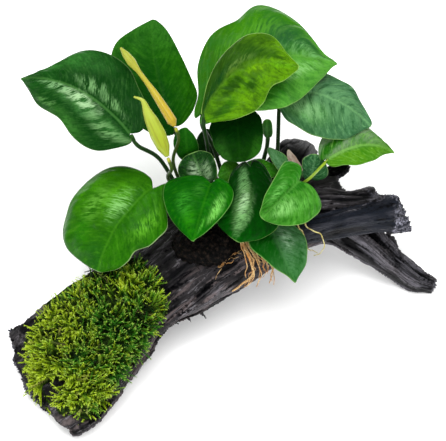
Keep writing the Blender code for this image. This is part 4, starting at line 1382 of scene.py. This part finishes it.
for number in range(PIECES):
    bm = bmesh.new()
    growth = bm.verts.layers.float_vector.new("growth")
    tones = []
    for index in range(number, FRONDS, PIECES):
        found = planted(shell[chosen[index]], *spread[index])
        if found is None:
            continue
        matrix, tone = found
        tones.append(tone)
        template = templates[index % len(templates)]
        template.transform(matrix)
        bm.from_mesh(template)
        template.transform(matrix.inverted())
    each = len(templates[0].vertices)
    for place, vertex in enumerate(bm.verts):
        tone, wither = tones[place // each]
        vertex[growth] = (tone, vertex[growth].y, wither)
        vertex.co.z = max(vertex.co.z, 0.1)
    add_piece(f"moss_fronds_{number + 1}", bm, moss_skin, "moss", *["moss_cushion"][number:])
for template in templates:
    bpy.data.meshes.remove(template)

# %% [markdown]
# Under the fronds lies a dark mat, which keeps the wood from showing through. It is the cushion, drawn
# in a few millimetres and roughened.

# %% Moss mat
bmesh.ops.subdivide_edges(cushion, edges=cushion.edges, cuts=3, use_grid_fill=True)
cushion.normal_update()
for vertex in cushion.verts:
    gone = max(smooth(in_oval(vertex.co, oval), 2.0, 1.0) for oval in BARE)
    vertex.co -= vertex.normal * (4.2 + 1.6 * noise.noise(vertex.co * 0.25))
    vertex.co += (MOSS_CENTRE + Vector((0, 0, -12)) - vertex.co) * (0.4 * gone)
    vertex.co.z = max(vertex.co.z, 0.5)
moss_mat = spotted(
    "moss_mat", 0.1, (420.0, 4.0), (0.4, 0.7),
    (0.004, 0.01, 0.001), (0.02, 0.045, 0.003), (0.8, 0.95), (0.8, 0.001),
)
add_piece("moss_bed", cushion, moss_mat, "moss")

# %% [markdown]
# ## Floor and light
# A pale floor runs out past the picture. The light is a soft studio one: an even room, two broad lights
# that show in no reflection, and softboxes above and behind the plant that the waxy leaves reflect.

# %% Floor
sheet = bmesh.new()
bmesh.ops.create_grid(sheet, x_segments=1, y_segments=1, size=4.0)
floor = linked("floor", as_mesh(sheet, "floor"))
paper, _, _ = finish("paper", Specular_IOR_Level=0.0, Base_Color=(0.93, 0.93, 0.93, 1), Roughness=1.0)
floor.data.materials.append(paper)

# %% Lights
scene.view_settings.view_transform = "Standard"
world = bpy.data.worlds.new("studio")
world.use_nodes = True
plug(world.node_tree.nodes["Background"].inputs, Color=(1, 1, 1, 1), Strength=1.3)
world.cycles_visibility.glossy = False
scene.world = world
PLANT = Vector((0, 0, 0.06))
for name, azimuth, elevation, distance, size, power, shines in (
    ("overhead", 0, 88, 1.2, 0.9, 9, False),
    ("front", 10, 22, 1.2, 0.6, 4, False),
    ("top", 270, 83, 1.2, 0.3, 3, True),
    ("left", 258, 62, 1.1, 0.3, 1.5, True),
    ("back_left", 215, 50, 0.9, 0.25, 0.8, True),
):
    light = bpy.data.lights.new(name, "AREA")
    light.size = size
    light.energy = power
    looking_on(name, light, PLANT, azimuth, elevation, distance).visible_glossy = shines

# %% [markdown]
# The dressed plant has to stay the size of its solids.
